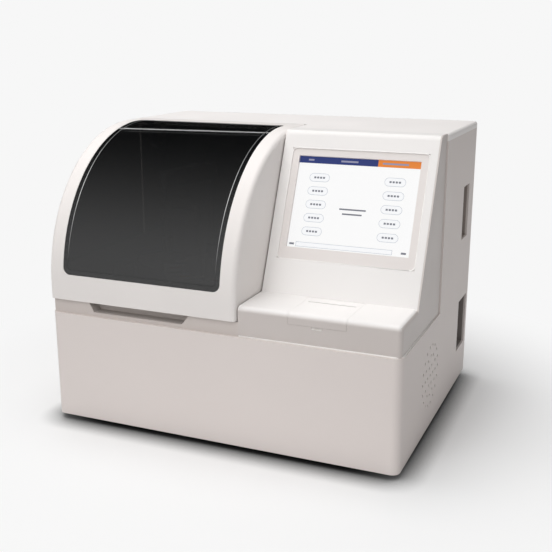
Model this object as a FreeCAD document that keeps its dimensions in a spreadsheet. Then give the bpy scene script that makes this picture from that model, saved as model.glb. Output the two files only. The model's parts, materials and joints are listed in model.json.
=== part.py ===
import FreeCAD, Part
import math
import os
import re
import Sketcher

# A benchtop chemistry analyzer, in millimetres. X runs right, Y back and Z up.
# The origin is on the table, under the middle of the casing.

Vector = FreeCAD.Vector
doc = FreeCAD.newDocument("Analyzer")
sheet = doc.addObject("Spreadsheet::Sheet", "Sizes")
worked = doc.addObject("Spreadsheet::Sheet", "Worked")
probe = doc.addObject("Spreadsheet::Sheet", "Probe")
driving_names = []
worked_names = []
nodes = {}


# Sheet and formula helpers

def driving(cells):
    """Adds driving dimensions to the sheet, one aliased cell each."""
    for name, number in cells.items():
        driving_names.append(name)
        sheet.set("A%d" % len(driving_names), name)
        sheet.set("B%d" % len(driving_names), str(number))
        sheet.setAlias("B%d" % len(driving_names), name)
    sheet.recompute()


def link(formula):
    """Turns the names in a formula into references to their cells."""
    def cell(match):
        word = match.group()
        if word in driving_names:
            return "Sizes." + word
        if word in worked_names:
            return "Worked." + word
        return word
    return re.sub(r"[a-z][a-z0-9_]*", cell, str(formula))


def derive(cells):
    """Adds sizes that follow from the driving ones, as formulas."""
    for name, formula in cells.items():
        row = len(worked_names) + 1
        worked.set("A%d" % row, name)
        worked.set("B%d" % row, "=" + link(formula).replace("Worked.", ""))
        worked.setAlias("B%d" % row, name)
        worked_names.append(name)
    worked.recompute()


def value(formula):
    """The number that a formula comes to."""
    probe.set("A1", "=" + link(formula))
    probe.recompute()
    return float(probe.get("A1"))


def bind(item, **formulas):
    """Binds properties to formulas; two underscores stand for a dot."""
    for name, formula in formulas.items():
        item.setExpression(name.replace("__", "."), link(formula))
    return item


def move(item, x="0", y="0", z="0"):
    return bind(item, Placement__Base__x=x, Placement__Base__y=y, Placement__Base__z=z)


def turn(item, axis, angle):
    """Turns an object about an axis through its own origin."""
    item.Placement = FreeCAD.Placement(item.Placement.Base, FreeCAD.Rotation(Vector(*axis), 1))
    return bind(item, Placement__Rotation__Angle=angle)


# Solid helpers

def block(name, across, along, up):
    """A box between low and high formulas on each axis."""
    item = doc.addObject("Part::Box", name)
    for size, axis, (low, high) in zip(("Length", "Width", "Height"), "xyz", (across, along, up)):
        item.setExpression(size, link("(%s) - (%s)" % (high, low)))
        item.setExpression("Placement.Base." + axis, link(low))
    return item


rod_turns = {"x": (Vector(0, 1, 0), 90), "y": (Vector(1, 0, 0), -90), "z": (Vector(0, 0, 1), 0)}


def rod(name, along, start, radius, length):
    item = doc.addObject("Part::Cylinder", name)
    item.Placement = FreeCAD.Placement(Vector(), FreeCAD.Rotation(*rod_turns[along]))
    move(item, *start)
    return bind(item, Radius=radius, Height=length)


def prism(name, along, start, radius, length, sides):
    """A bar with flat sides, measured across its corners."""
    item = doc.addObject("Part::Prism", name)
    item.Placement = FreeCAD.Placement(Vector(), FreeCAD.Rotation(*rod_turns[along]))
    move(item, *start)
    return bind(item, Polygon=sides, Circumradius=radius, Height=length)


def fuse(name, *items):
    item = doc.addObject("Part::MultiFuse", name)
    item.Shapes = list(items)
    item.Refine = True
    return item


def cut(name, base, *tools):
    item = doc.addObject("Part::Cut", name)
    item.Base = base
    item.Tool = tools[0] if len(tools) == 1 else fuse(name + "Tools", *tools)
    return item


def group(name, *items):
    item = doc.addObject("Part::Compound", name)
    item.Links = list(items)
    return item


def copies(item, places):
    """The object and links to it, moved by each of the places."""
    items = [item]
    for number, place in enumerate(places, start=1):
        copy = doc.addObject("App::Link", "%sCopy%d" % (item.Name, number))
        copy.LinkedObject = item
        copy.LinkTransform = True
        items.append(move(copy, *place))
    return items


def ring_places(radius, phase, count):
    """Moves from the first place of a ring to each of the others."""
    places = []
    for number in range(1, int(value(count))):
        angle = "%s + 360 * %d / %s" % (phase, number, count)
        places.append(("%s * (cos(%s) - cos(%s))" % (radius, angle, phase),
                       "%s * (sin(%s) - sin(%s))" % (radius, angle, phase), "0"))
    return places


# Sketch helpers

def origin_feature(body, role):
    return [item for item in body.Origin.OriginFeatures if item.Role == role][0]


def arc_between(start, end, radius):
    """An arc of under half a turn; a negative radius bends it clockwise."""
    chord = end - start
    rise = math.sqrt(max(radius * radius - (chord.Length / 2) ** 2, 0))
    left = Vector(-chord.y, chord.x, 0).normalize()
    centre = start + chord / 2 + left * (rise if radius > 0 else -rise)
    first, last = (start, end) if radius > 0 else (end, start)
    angles = [math.atan2(point.y - centre.y, point.x - centre.x) for point in (first, last)]
    if angles[1] < angles[0]:
        angles[1] += 2 * math.pi
    return Part.ArcOfCircle(Part.Circle(centre, Vector(0, 0, 1), abs(radius)), *angles)


def outline(body, name, role, corners):
    """A closed sketch; a third entry makes the edge to the next corner an arc."""
    sketch = body.newObject("Sketcher::SketchObject", name)
    sketch.AttachmentSupport = [(origin_feature(body, role), "")]
    sketch.MapMode = "FlatFace"
    points = [Vector(value(corner[0]), value(corner[1]), 0) for corner in corners]
    ends = []
    for number, corner in enumerate(corners):
        start = points[number]
        end = points[(number + 1) % len(points)]
        if len(corner) == 3:
            radius = value(corner[2])
            sketch.addGeometry(arc_between(start, end, radius), False)
            ends.append((1, 2) if radius > 0 else (2, 1))
        else:
            sketch.addGeometry(Part.LineSegment(start, end), False)
            ends.append((1, 2))
    for number, corner in enumerate(corners):
        after = (number + 1) % len(corners)
        sketch.addConstraint(
            Sketcher.Constraint("Coincident", number, ends[number][1], after, ends[after][0]))
        for kind, formula, size in (("DistanceX", corner[0], points[number].x),
                                    ("DistanceY", corner[1], points[number].y)):
            place = sketch.addConstraint(
                Sketcher.Constraint(kind, -1, 1, number, ends[number][0], size))
            sketch.setExpression("Constraints[%d]" % place, link(formula))
        if len(corner) == 3:
            size = abs(value(corner[2]))
            place = sketch.addConstraint(Sketcher.Constraint("Radius", number, size))
            sketch.setExpression("Constraints[%d]" % place, link("abs(%s)" % corner[2]))
    return sketch


def new_body(name):
    body = doc.addObject("PartDesign::Body", name)
    body.AllowCompound = True
    return body


def extrude(name, role, corners, low, high):
    """A body padded from low to high along the axis that its sketch plane faces."""
    body = new_body(name)
    sketch = outline(body, name + "Sketch", role, corners)
    pad = body.newObject("PartDesign::Pad", name + "Pad")
    pad.Profile = sketch
    start = "-(%s)" % high if role == "XZ_Plane" else low
    bind(sketch, AttachmentOffset__Base__z=start)
    bind(pad, Length="(%s) - (%s)" % (high, low))
    return body


def revolve(name, corners, at=("0", "0", "0"), offset="0"):
    """A body turned about a vertical axis; corners are radius and height."""
    body = new_body(name)
    sketch = outline(body, name + "Sketch", "XZ_Plane", corners)
    bind(sketch, AttachmentOffset__Base__x=offset)
    turned = body.newObject("PartDesign::Revolution", name + "Turned")
    turned.Profile = sketch
    turned.ReferenceAxis = (sketch, ["V_Axis"])
    turned.Angle = 360
    return move(body, *at)


def ring_of(body, count):
    """Repeats a body's last feature evenly about the body's own vertical axis."""
    doc.recompute()
    pattern = body.newObject("PartDesign::PolarPattern", body.Name + "Ring")
    pattern.Originals = [body.Tip]
    pattern.Axis = (origin_feature(body, "Z_Axis"), [""])
    pattern.Angle = 360
    bind(pattern, Occurrences=count)
    body.Tip = pattern
    return body


def near(number, formula):
    """Whether a coordinate lies where a formula says, within the fit clearance."""
    return abs(number - value(formula)) < value("fit")


def rounded(name, item, radius, chosen):
    """Fillets the edges that a test chooses."""
    doc.recompute()
    fillet = doc.addObject("Part::Fillet", name)
    fillet.Base = item
    edges = [number for number, edge in enumerate(item.Shape.Edges, start=1) if chosen(edge)]
    size = value(radius)
    fillet.Edges = [(number, size, size) for number in edges]
    return fillet


def node(label, item):
    """Names a finished sub-part; its label is also its file's name."""
    item.Label = label
    nodes[label] = item
    return item


# Overall sizes and the casing

casing_sizes = {
    "overall_width": 630, "overall_depth": 500, "overall_height": 510,
    "foot_height": 10, "foot_radius": 17, "foot_sides": 16, "foot_inset": 45,
    "casing_wall": 4, "cover_wall": 3, "plate_wall": 2, "fit": 0.3, "overrun": 2,
    "upper_height": 310, "corner_radius": 14, "rim_width": 6, "rim_depth": 4,
    "seam_setback": 250, "cover_setback": 5, "cover_side_setback": 2.5,
    "roof_turn": 12, "roof_round": 6, "rear_inset": 8,
    "vent_radius": 3, "vent_sides": 6, "vent_rings": 3, "vent_pitch": 18, "vent_back": 195,
    "vent_height": 106,
    "bay_inset": 14, "bay_length": 71, "bay_bottom": 75, "bay_height": 100, "bay_depth": 30,
    "grip_inset": 43, "grip_length": 51, "grip_lift": 98, "grip_height": 100, "grip_depth": 32,
}
driving(casing_sizes)
derive({
    "left": "-overall_width / 2", "right": "overall_width / 2",
    "front": "-overall_depth / 2", "back": "overall_depth / 2",
    "ledge_height": "overall_height - upper_height",
    "seam": "front + seam_setback", "column_top": "overall_height - roof_turn",
    "inner_left": "left + casing_wall", "inner_right": "right - casing_wall",
    "inner_front": "front + casing_wall", "roof_under": "overall_height - cover_wall",
    "panel_outer": "back - rear_inset", "panel_inner": "panel_outer - plate_wall",
    "vent_middle": "front + vent_back", "chassis_top": "foot_height + plate_wall",
    "bay_end": "back - bay_inset", "bay_start": "bay_end - bay_length",
    "bay_top": "bay_bottom + bay_height",
    "grip_end": "back - grip_inset", "grip_start": "grip_end - grip_length",
    "grip_bottom": "ledge_height + grip_lift", "grip_top": "grip_bottom + grip_height",
})

# The lid's place on the casing, from which the casing and the roof leave room
lid_place = {
    "lid_width": 356, "lid_lift": 25, "lid_radius": 262, "lid_flat": 48, "lid_gap": 4,
    "lid_wall": 3, "lid_round": 8, "lid_side_gap": 2,
}
driving(lid_place)
derive({
    "lid_bottom": "ledge_height + lid_lift",
    "lid_right": "left + lid_width", "lid_knee": "overall_height - lid_radius",
    "lid_middle": "front + lid_radius", "lid_rear": "lid_middle + lid_flat",
    "roof_front": "lid_rear + lid_gap", "console_left": "lid_right + lid_side_gap",
})


def casing_plan(inset, radius):
    """The casing's plan, square at the back and rounded at the front corners."""
    return [
        ("right - (%s)" % inset, "back"), ("left + %s" % inset, "back"),
        ("left + %s" % inset, "front + %s" % radius, "corner_radius - %s" % inset),
        ("left + %s" % radius, "front + %s" % inset),
        ("right - %s" % radius, "front + %s" % inset, "corner_radius - %s" % inset),
        ("right - (%s)" % inset, "front + %s" % radius),
    ]


def make_casing():
    outer = extrude("CasingOuter", "XY_Plane", casing_plan("0", "corner_radius"),
                    "foot_height", "ledge_height")
    inner = extrude("CasingInner", "XY_Plane", casing_plan("casing_wall", "corner_radius"),
                    "foot_height - overrun", "ledge_height - rim_depth")
    well = block("CasingWell", ("inner_left + rim_width", "inner_right - rim_width"),
                 ("inner_front + rim_width", "back + overrun"),
                 ("ledge_height - rim_depth - overrun", "ledge_height + overrun"))
    rear = block("CasingRear", ("inner_left", "inner_right"), ("panel_inner", "back + overrun"),
                 ("foot_height - overrun", "ledge_height + overrun"))
    lower = cut("CasingLower", outer, inner, well, rear)
    right_column = block("RightColumn", ("inner_right", "right"), ("seam", "back"),
                         ("ledge_height", "column_top"))
    left_column = block("LeftColumn", ("left", "inner_left"), ("roof_front", "back"),
                        ("ledge_height", "column_top"))
    walls = fuse("CasingWalls", lower, right_column, left_column)
    bay = block("BayHole", ("inner_right - overrun", "right + overrun"),
                ("bay_start", "bay_end"), ("bay_bottom", "bay_top"))
    grip = block("GripHole", ("inner_right - overrun", "right + overrun"),
                 ("grip_start", "grip_end"), ("grip_bottom", "grip_top"))
    vent = prism("Vent", "x", ("inner_right - overrun", "vent_middle", "vent_height"),
                 "vent_radius", "casing_wall + 2 * overrun", "vent_sides")
    places = []
    for ring in range(1, int(value("vent_rings")) + 1):
        for step in range(6 * ring):
            angle = 60 * step / ring
            places.append(("0", "%d * vent_pitch * cos(%g)" % (ring, angle),
                           "%d * vent_pitch * sin(%g)" % (ring, angle)))
    node("base_casing", cut("Casing", walls, bay, grip, *copies(vent, places)))


def make_chassis():
    plate = block("ChassisPlate", ("inner_left + fit", "inner_right - fit"),
                  ("front + corner_radius + fit", "panel_inner - fit"), ("foot_height", "chassis_top"))
    nose = block("ChassisNose", ("left + corner_radius + fit", "right - corner_radius - fit"),
                 ("inner_front", "front + corner_radius + fit"), ("foot_height", "chassis_top"))
    node("chassis_plate", fuse("Chassis", plate, nose))


def make_feet():
    foot = prism("Foot", "z", ("left + foot_inset", "front + foot_inset", "0"), "foot_radius",
                 "foot_height", "foot_sides")
    across = "overall_width - 2 * foot_inset"
    deep = "overall_depth - 2 * foot_inset"
    node("feet", group("Feet", *copies(foot, [(across, "0", "0"), ("0", deep, "0"), (across, deep, "0")])))


# Roof and rear panel

rear_sizes = {
    "louvre_count": 7, "louvre_length": 90, "louvre_height": 4, "louvre_pitch": 11,
    "louvre_lift": 130, "louvre_left": 60,
    "inlet_width": 27.5, "inlet_height": 20, "inlet_right_inset": 70, "inlet_base": 45,
    "rocker_width": 21, "rocker_height": 15, "rocker_gap": 14,
    "port_radius": 4, "port_pitch": 24, "port_left_inset": 60, "port_base": 60,
}
driving(rear_sizes)
derive({
    "louvre_bottom": "ledge_height + louvre_lift",
    "inlet_middle": "right - inlet_right_inset",
    "inlet_level": "inlet_base + inlet_height / 2",
    "rocker_level": "inlet_base + inlet_height + rocker_gap + rocker_height / 2",
    "port_first": "left + port_left_inset",
})


def make_roof():
    outer = block("RoofOuter", ("left", "right"), ("seam", "back"), ("column_top", "overall_height"))
    sides = rounded("RoofRounded", outer, "roof_round", lambda edge: (
        near(abs(edge.CenterOfMass.x), "right") and edge.CenterOfMass.z > value("roof_under")))
    inner = block("RoofInner", ("inner_left", "inner_right"), ("seam - overrun", "back - casing_wall"),
                  ("column_top - overrun", "roof_under"))
    notch = block("RoofNotch", ("left - overrun", "console_left"), ("seam - overrun", "roof_front"),
                  ("column_top - overrun", "overall_height + overrun"))
    step = block("RoofStep", ("console_left", "console_left + cover_wall"),
                 ("seam", "roof_front + cover_wall"), ("column_top", "roof_under"))
    lip = block("RoofLip", ("left", "console_left"), ("roof_front", "roof_front + cover_wall"),
                ("column_top", "roof_under"))
    shell = cut("RoofShell", sides, inner, notch)
    node("roof_cover", fuse("Roof", shell, step, lip))


def make_rear_panel():
    panel = block("PanelPlate", ("inner_left", "inner_right"), ("panel_inner", "panel_outer"),
                  ("foot_height", "column_top"))
    slot = block("Louvre", ("louvre_left", "louvre_left + louvre_length"),
                 ("panel_inner - overrun", "panel_outer + overrun"),
                 ("louvre_bottom", "louvre_bottom + louvre_height"))
    hood = block("LouvreHood", ("louvre_left", "louvre_left + louvre_length"),
                 ("panel_outer", "panel_outer + plate_wall"),
                 ("louvre_bottom + louvre_height", "louvre_bottom + louvre_height + plate_wall"))
    rows = [("0", "0", "%d * louvre_pitch" % row) for row in range(1, int(value("louvre_count")))]
    inlet = block("InletHole", ("inlet_middle - inlet_width / 2", "inlet_middle + inlet_width / 2"),
                  ("panel_inner - overrun", "panel_outer + overrun"),
                  ("inlet_base", "inlet_base + inlet_height"))
    rocker = block("RockerHole", ("inlet_middle - rocker_width / 2", "inlet_middle + rocker_width / 2"),
                   ("panel_inner - overrun", "panel_outer + overrun"),
                   ("rocker_level - rocker_height / 2", "rocker_level + rocker_height / 2"))
    port = rod("PortHole", "y", ("port_first", "panel_inner - overrun", "port_base"),
               "port_radius", "plate_wall + 2 * overrun")
    ports = copies(port, [("%d * port_pitch" % step, "0", "0") for step in (1, 2)])
    holed = cut("PanelHoled", panel, inlet, rocker, *ports, *copies(slot, rows))
    node("rear_panel", fuse("Panel", holed, *copies(hood, rows)))


make_casing()
make_chassis()
make_feet()
make_roof()
make_rear_panel()


# Console, with the screen's slope and the printer's shelf

console_sizes = {
    "shelf_rise": 50, "shelf_round": 8, "slope_setback": 101, "slope_tilt": 67, "slope_round": 12,
    "screen_width": 211.2, "screen_height": 158.4, "screen_side": 30, "screen_rise": 80.5,
    "bezel_side": 13, "bezel_top": 13, "bezel_foot": 21, "bezel_flange": 6, "bezel_recess": 1.5,
    "bezel_thick": 3, "glass_thick": 1.1, "glass_border": 4, "module_depth": 9, "module_border": 7,
    "flap_side": 86, "flap_width": 96, "flap_lip": 18, "flap_thick": 2.5, "knuckle_radius": 2.5,
    "knuckle_gap": 0.5, "ear_thick": 3, "ear_radius": 5, "notch_width": 18, "notch_drop": 5,
}
driving(console_sizes)
derive({
    "console_front": "front + cover_setback", "console_right": "right - cover_side_setback",
    "shelf_height": "ledge_height + shelf_rise", "slope_foot": "front + slope_setback",
    "slope_top": "slope_foot + (overall_height - shelf_height) / tan(slope_tilt)",
    "slope_inset": "cover_wall * tan(slope_tilt / 2)",
    "screen_left": "console_left + screen_side", "flap_left": "console_left + flap_side",
    "bezel_left": "screen_left - bezel_side",
    "bezel_right": "screen_left + screen_width + bezel_side",
    "bezel_low": "screen_rise - bezel_foot", "bezel_high": "screen_rise + screen_height + bezel_top",
    "bezel_face": "-bezel_recess", "bezel_back": "-cover_wall - bezel_thick",
    "knuckle_back": "slope_foot - knuckle_radius - knuckle_gap",
    "knuckle_level": "shelf_height - knuckle_radius",
    "flap_right": "flap_left + flap_width", "flap_middle": "flap_left + flap_width / 2",
})


def on_slope(name, across, rise, out):
    """A box on the screen's slope: rise runs up it from its foot, out leaves its face."""
    item = block(name, across, rise, out)
    item.setExpression("Placement.Base.y", None)
    item.setExpression("Placement.Base.z", None)
    turn(item, (1, 0, 0), "slope_tilt")
    foot = (rise[0], out[0])
    return bind(
        item, Placement__Base__y="slope_foot + (%s) * cos(slope_tilt) - (%s) * sin(slope_tilt)" % foot,
        Placement__Base__z="shelf_height + (%s) * sin(slope_tilt) + (%s) * cos(slope_tilt)" % foot)


def make_console():
    outer = extrude("ConsoleOuter", "YZ_Plane", [
        ("console_front", "ledge_height"), ("console_front", "shelf_height - shelf_round", "-shelf_round"),
        ("console_front + shelf_round", "shelf_height"), ("slope_foot", "shelf_height"),
        ("slope_top", "overall_height"), ("seam", "overall_height"), ("seam", "ledge_height"),
    ], "console_left", "console_right")
    crest = rounded("ConsoleCrest", outer, "slope_round", lambda edge: (
        near(edge.CenterOfMass.z, "overall_height") and near(edge.CenterOfMass.y, "slope_top")))
    corner = rounded("ConsoleCorner", crest, "shelf_round", lambda edge: (
        near(edge.CenterOfMass.x, "console_right")
        and edge.CenterOfMass.y < value("console_front + shelf_round")))
    inner = extrude("ConsoleInner", "YZ_Plane", [
        ("console_front + cover_wall", "ledge_height - overrun"),
        ("console_front + cover_wall", "shelf_height - cover_wall"),
        ("slope_foot + slope_inset", "shelf_height - cover_wall"),
        ("slope_top + slope_inset", "roof_under"), ("seam + overrun", "roof_under"),
        ("seam + overrun", "ledge_height - overrun"),
    ], "console_left + cover_wall", "console_right - cover_wall")
    screen = on_slope("ScreenHole", ("bezel_left", "bezel_right"), ("bezel_low", "bezel_high"),
                      ("-cover_wall - overrun", "overrun"))
    flap = block("FlapHole", ("flap_left - fit", "flap_right + fit"),
                 ("console_front - overrun", "slope_foot - fit"),
                 ("shelf_height - flap_lip - fit", "shelf_height + overrun"))
    ears = block("EarSlots", ("flap_left - 2 * fit - ear_thick", "flap_right + 2 * fit + ear_thick"),
                 ("knuckle_back - ear_radius - fit", "slope_foot - fit"),
                 ("shelf_height - cover_wall - overrun", "shelf_height + overrun"))
    notch = block("FingerNotch", ("flap_middle - notch_width / 2", "flap_middle + notch_width / 2"),
                  ("console_front - overrun", "console_front + cover_wall + overrun"),
                  ("shelf_height - flap_lip - notch_drop", "shelf_height - flap_lip"))
    shell = cut("ConsoleShell", corner, inner, screen, flap, ears, notch)
    node("console_cover", shell)


def make_bezel():
    flange = on_slope("BezelFlange", ("bezel_left - bezel_flange", "bezel_right + bezel_flange"),
                      ("bezel_low - bezel_flange", "bezel_high + bezel_flange"),
                      ("bezel_back", "-cover_wall"))
    field = on_slope("BezelField", ("bezel_left + fit", "bezel_right - fit"),
                     ("bezel_low + fit", "bezel_high - fit"), ("-cover_wall", "bezel_face"))
    hole = on_slope("BezelHole", ("screen_left", "screen_left + screen_width"),
                    ("screen_rise", "screen_rise + screen_height"), ("bezel_back - overrun", "overrun"))
    node("screen_bezel", cut("Bezel", fuse("BezelPlate", flange, field), hole))


def make_screen():
    node("touch_screen", on_slope(
        "Glass", ("screen_left - glass_border", "screen_left + screen_width + glass_border"),
        ("screen_rise - glass_border", "screen_rise + screen_height + glass_border"),
        ("bezel_back - glass_thick", "bezel_back")))
    node("display_module", on_slope(
        "Display", ("screen_left - module_border", "screen_left + screen_width + module_border"),
        ("screen_rise - module_border", "screen_rise + screen_height + module_border"),
        ("bezel_back - glass_thick - module_depth", "bezel_back - glass_thick")))


# Lid with its wrapped window and gooseneck hinges

lid_sizes = {
    "window_left": 29, "window_right": 28, "window_lift": 70, "window_rear": 280,
    "window_corner": 13, "window_flange": 8, "window_step": 2.5, "window_proud": 0.5,
    "hinge_setback": 350, "hinge_drop": 16, "hinge_boss": 9, "hinge_pin": 4, "pin_play": 0.05,
    "arm_width": 8, "arm_inner": 44, "arm_outer": 54, "arm_left_inset": 35, "arm_right_inset": 31,
    "pad_length": 18, "pad_thick": 4, "arm_angle": 168, "bracket_gap": 0.5, "bracket_thick": 4,
}
driving(lid_sizes)
derive({
    "pivot_back": "front + hinge_setback", "pivot_level": "overall_height - hinge_drop",
    "left_arm": "left + arm_left_inset", "right_arm": "lid_right - arm_right_inset",
    "pane_outer": "lid_wall", "pane_inner": "lid_wall + window_step",
    "pane_left": "left + window_left", "pane_right": "lid_right - window_right",
    "pane_rear": "front + window_rear", "window_bottom": "ledge_height + window_lift",
})


def lid_filled(name, inset, low, high):
    """The lid's side profile as a solid, inset by a thickness."""
    return extrude(name, "YZ_Plane", [
        ("front + %s" % inset, "lid_bottom"),
        ("front + %s" % inset, "lid_knee", "-(lid_radius - %s)" % inset),
        ("lid_middle", "overall_height - %s" % inset), ("lid_rear", "overall_height - %s" % inset),
        ("lid_rear", "lid_bottom"),
    ], low, high)


def lid_skin(name, outer, inner, low, high):
    """A layer of the lid's wrapped face between two insets."""
    return extrude(name, "YZ_Plane", [
        ("front + %s" % outer, "lid_bottom"),
        ("front + %s" % outer, "lid_knee", "-(lid_radius - %s)" % outer),
        ("lid_middle", "overall_height - %s" % outer), ("lid_rear", "overall_height - %s" % outer),
        ("lid_rear", "overall_height - (%s)" % inner),
        ("lid_middle", "overall_height - (%s)" % inner, "lid_radius - (%s)" % inner),
        ("front + %s" % inner, "lid_knee"), ("front + %s" % inner, "lid_bottom"),
    ], low, high)


def window_block(name, grow):
    """The window's extent, with its four corners rounded, grown by a margin."""
    item = block(name, ("pane_left - %s" % grow, "pane_right + %s" % grow),
                 ("front - overrun", "pane_rear + %s" % grow),
                 ("window_bottom - %s" % grow, "overall_height + overrun"))
    return rounded(name + "Rounded", item, "window_corner + %s" % grow, lambda edge: (
        edge.BoundBox.XLength < value("fit")
        and (near(edge.CenterOfMass.z, "window_bottom - %s" % grow)
             or near(edge.CenterOfMass.y, "pane_rear + %s" % grow))))


def make_lid():
    filled = lid_filled("LidFilled", "0", "left", "lid_right")
    smooth = rounded("LidSmooth", filled, "lid_round", lambda edge: (
        (near(edge.CenterOfMass.x, "left") or near(edge.CenterOfMass.x, "lid_right"))
        and edge.CenterOfMass.y < value("lid_rear - fit")
        and edge.CenterOfMass.z > value("lid_bottom + fit")))
    hollow = extrude("LidHollow", "YZ_Plane", [
        ("front + lid_wall", "lid_bottom - overrun"),
        ("front + lid_wall", "lid_knee", "-(lid_radius - lid_wall)"),
        ("lid_middle", "roof_under"), ("lid_rear + overrun", "roof_under"),
        ("lid_rear + overrun", "lid_bottom - overrun"),
    ], "left + lid_wall", "lid_right - lid_wall")
    node("lid_frame", cut("Lid", smooth, hollow, window_block("WindowHole", "0")))


def make_window():
    span = ("left + lid_wall", "lid_right - lid_wall")
    flange_skin = lid_skin("FlangeSkin", "pane_outer", "pane_inner", *span)
    field_skin = lid_skin("FieldSkin", "window_proud", "pane_outer", *span)
    flange = doc.addObject("Part::Common", "WindowFlange")
    flange.Base = flange_skin
    flange.Tool = window_block("FlangeBlock", "window_flange")
    field = doc.addObject("Part::Common", "WindowField")
    field.Base = field_skin
    field.Tool = window_block("FieldBlock", "(-fit)")
    node("lid_window", fuse("Window", flange, field))


def make_hinges():
    """Two goosenecks that carry the lid's rear edge forward of the pivot and under the roof's edge."""
    bar_half = "(arm_outer - arm_inner) / 2"
    reach = "pivot_back + arm_%s * cos(arm_angle)"
    rise = "pivot_level + arm_%s * sin(arm_angle)"
    band = extrude("ArmBand", "YZ_Plane", [
        ("pivot_back + %s" % bar_half, "pivot_level - arm_inner"),
        ("pivot_back", "pivot_level - arm_inner", "-arm_inner"),
        (reach % "inner", rise % "inner"), (reach % "outer", rise % "outer", "arm_outer"),
        ("pivot_back", "pivot_level - arm_outer"),
        ("pivot_back + %s" % bar_half, "pivot_level - arm_outer"),
    ], "left_arm - arm_width / 2", "left_arm + arm_width / 2")
    bar = block("ArmBar", ("left_arm - arm_width / 2", "left_arm + arm_width / 2"),
                ("pivot_back - %s" % bar_half, "pivot_back + %s" % bar_half),
                ("pivot_level - arm_inner - overrun", "pivot_level"))
    boss = rod("ArmBoss", "x", ("left_arm - arm_width / 2", "pivot_back", "pivot_level"),
               "hinge_boss", "arm_width")
    pad = block("ArmPad", ("left_arm - arm_width", "left_arm + arm_width"),
                ("pivot_back - arm_inner - pad_length + overrun", "pivot_back - arm_inner + overrun"),
                ("roof_under - pad_thick", "roof_under"))
    eye = rod("ArmEye", "x", ("left_arm - arm_width / 2 - overrun", "pivot_back", "pivot_level"),
              "hinge_pin + pin_play", "arm_width + 2 * overrun")
    arm = cut("Arm", fuse("ArmSolid", band, bar, boss, pad), eye)
    node("lid_hinge_arms", group("Arms", *copies(arm, [("right_arm - left_arm", "0", "0")])))


def make_brackets():
    """Fork plates under the roof that hold each hinge pin."""
    side = "left_arm - arm_width / 2 - bracket_gap"
    plate = extrude("BracketPlate", "YZ_Plane", [
        ("pivot_back - hinge_boss", "pivot_level - hinge_boss"),
        ("pivot_back + hinge_boss", "pivot_level - hinge_boss"),
        ("pivot_back + 2 * hinge_boss", "roof_under"), ("pivot_back - hinge_boss", "roof_under"),
    ], side + " - bracket_thick", side)
    pin = rod("HingePin", "x", (side + " - bracket_thick", "pivot_back", "pivot_level"), "hinge_pin",
              "arm_width + 2 * bracket_gap + 2 * bracket_thick")
    plates = copies(plate, [("arm_width + 2 * bracket_gap + bracket_thick", "0", "0")])
    fork = fuse("Fork", *plates, pin)
    node("hinge_brackets", group("Forks", *copies(fork, [("right_arm - left_arm", "0", "0")])))


# Sill under the lid, the work deck and its liner

work_area_sizes = {
    "sill_gap": 1.5, "recess_depth": 22, "recess_left": 75, "recess_width": 196, "recess_slant_left": 10,
    "recess_slant_right": 15, "recess_lift": 7, "deck_rise": 15, "deck_thick": 3,
    "liner_rise": 80, "liner_back": 390, "liner_inset": 9, "deck_front_gap": 4,
}
driving(work_area_sizes)
derive({
    "recess_floor": "ledge_height + recess_lift", "deck_height": "ledge_height + deck_rise",
    "liner_height": "ledge_height + liner_rise",
    "sill_left": "left + cover_setback", "sill_top": "lid_bottom - sill_gap",
    "recess_start": "left + recess_left", "recess_end": "recess_start + recess_width",
    "recess_back": "console_front + recess_depth", "sill_back": "recess_back + plate_wall",
    "deck_front": "sill_back + deck_front_gap", "liner_rear": "front + liner_back",
    "liner_left": "left + liner_inset", "deck_under": "deck_height - deck_thick",
})


def make_sill():
    strip = block("SillFront", ("sill_left", "console_left"),
                  ("console_front", "console_front + cover_wall"), ("ledge_height", "sill_top"))
    side = block("SillSide", ("sill_left", "sill_left + cover_wall"), ("console_front", "lid_rear"),
                 ("ledge_height", "sill_top"))
    trough = block("SillTrough", ("recess_start - cover_wall", "recess_end + cover_wall"),
                   ("console_front", "sill_back"), ("recess_floor - cover_wall", "sill_top"))
    scoop = extrude("SillScoop", "XZ_Plane", [
        ("recess_start", "sill_top + overrun"),
        ("recess_start + recess_slant_left", "recess_floor"),
        ("recess_end - recess_slant_right", "recess_floor"),
        ("recess_end", "sill_top + overrun"),
    ], "console_front - overrun", "recess_back")
    node("lid_sill", cut("Sill", fuse("SillSolid", strip, side, trough), scoop))


def make_liner():
    left_wall = block("LinerLeft", ("liner_left", "liner_left + cover_wall"), ("deck_front", "liner_rear"),
                      ("deck_height", "liner_height"))
    rear_wall = block("LinerRear", ("liner_left", "console_left"), ("liner_rear", "liner_rear + cover_wall"),
                      ("deck_height", "column_top"))
    right_wall = block("LinerRight", ("console_left", "console_left + cover_wall"),
                       ("seam", "liner_rear + cover_wall"), ("deck_under", "column_top"))
    node("inner_liner", fuse("Liner", left_wall, rear_wall, right_wall))


make_console()
make_bezel()
make_screen()
make_lid()
make_window()
make_hinges()
make_brackets()
make_sill()
make_liner()


# Reagent disk, its bottles and sample tubes

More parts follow.
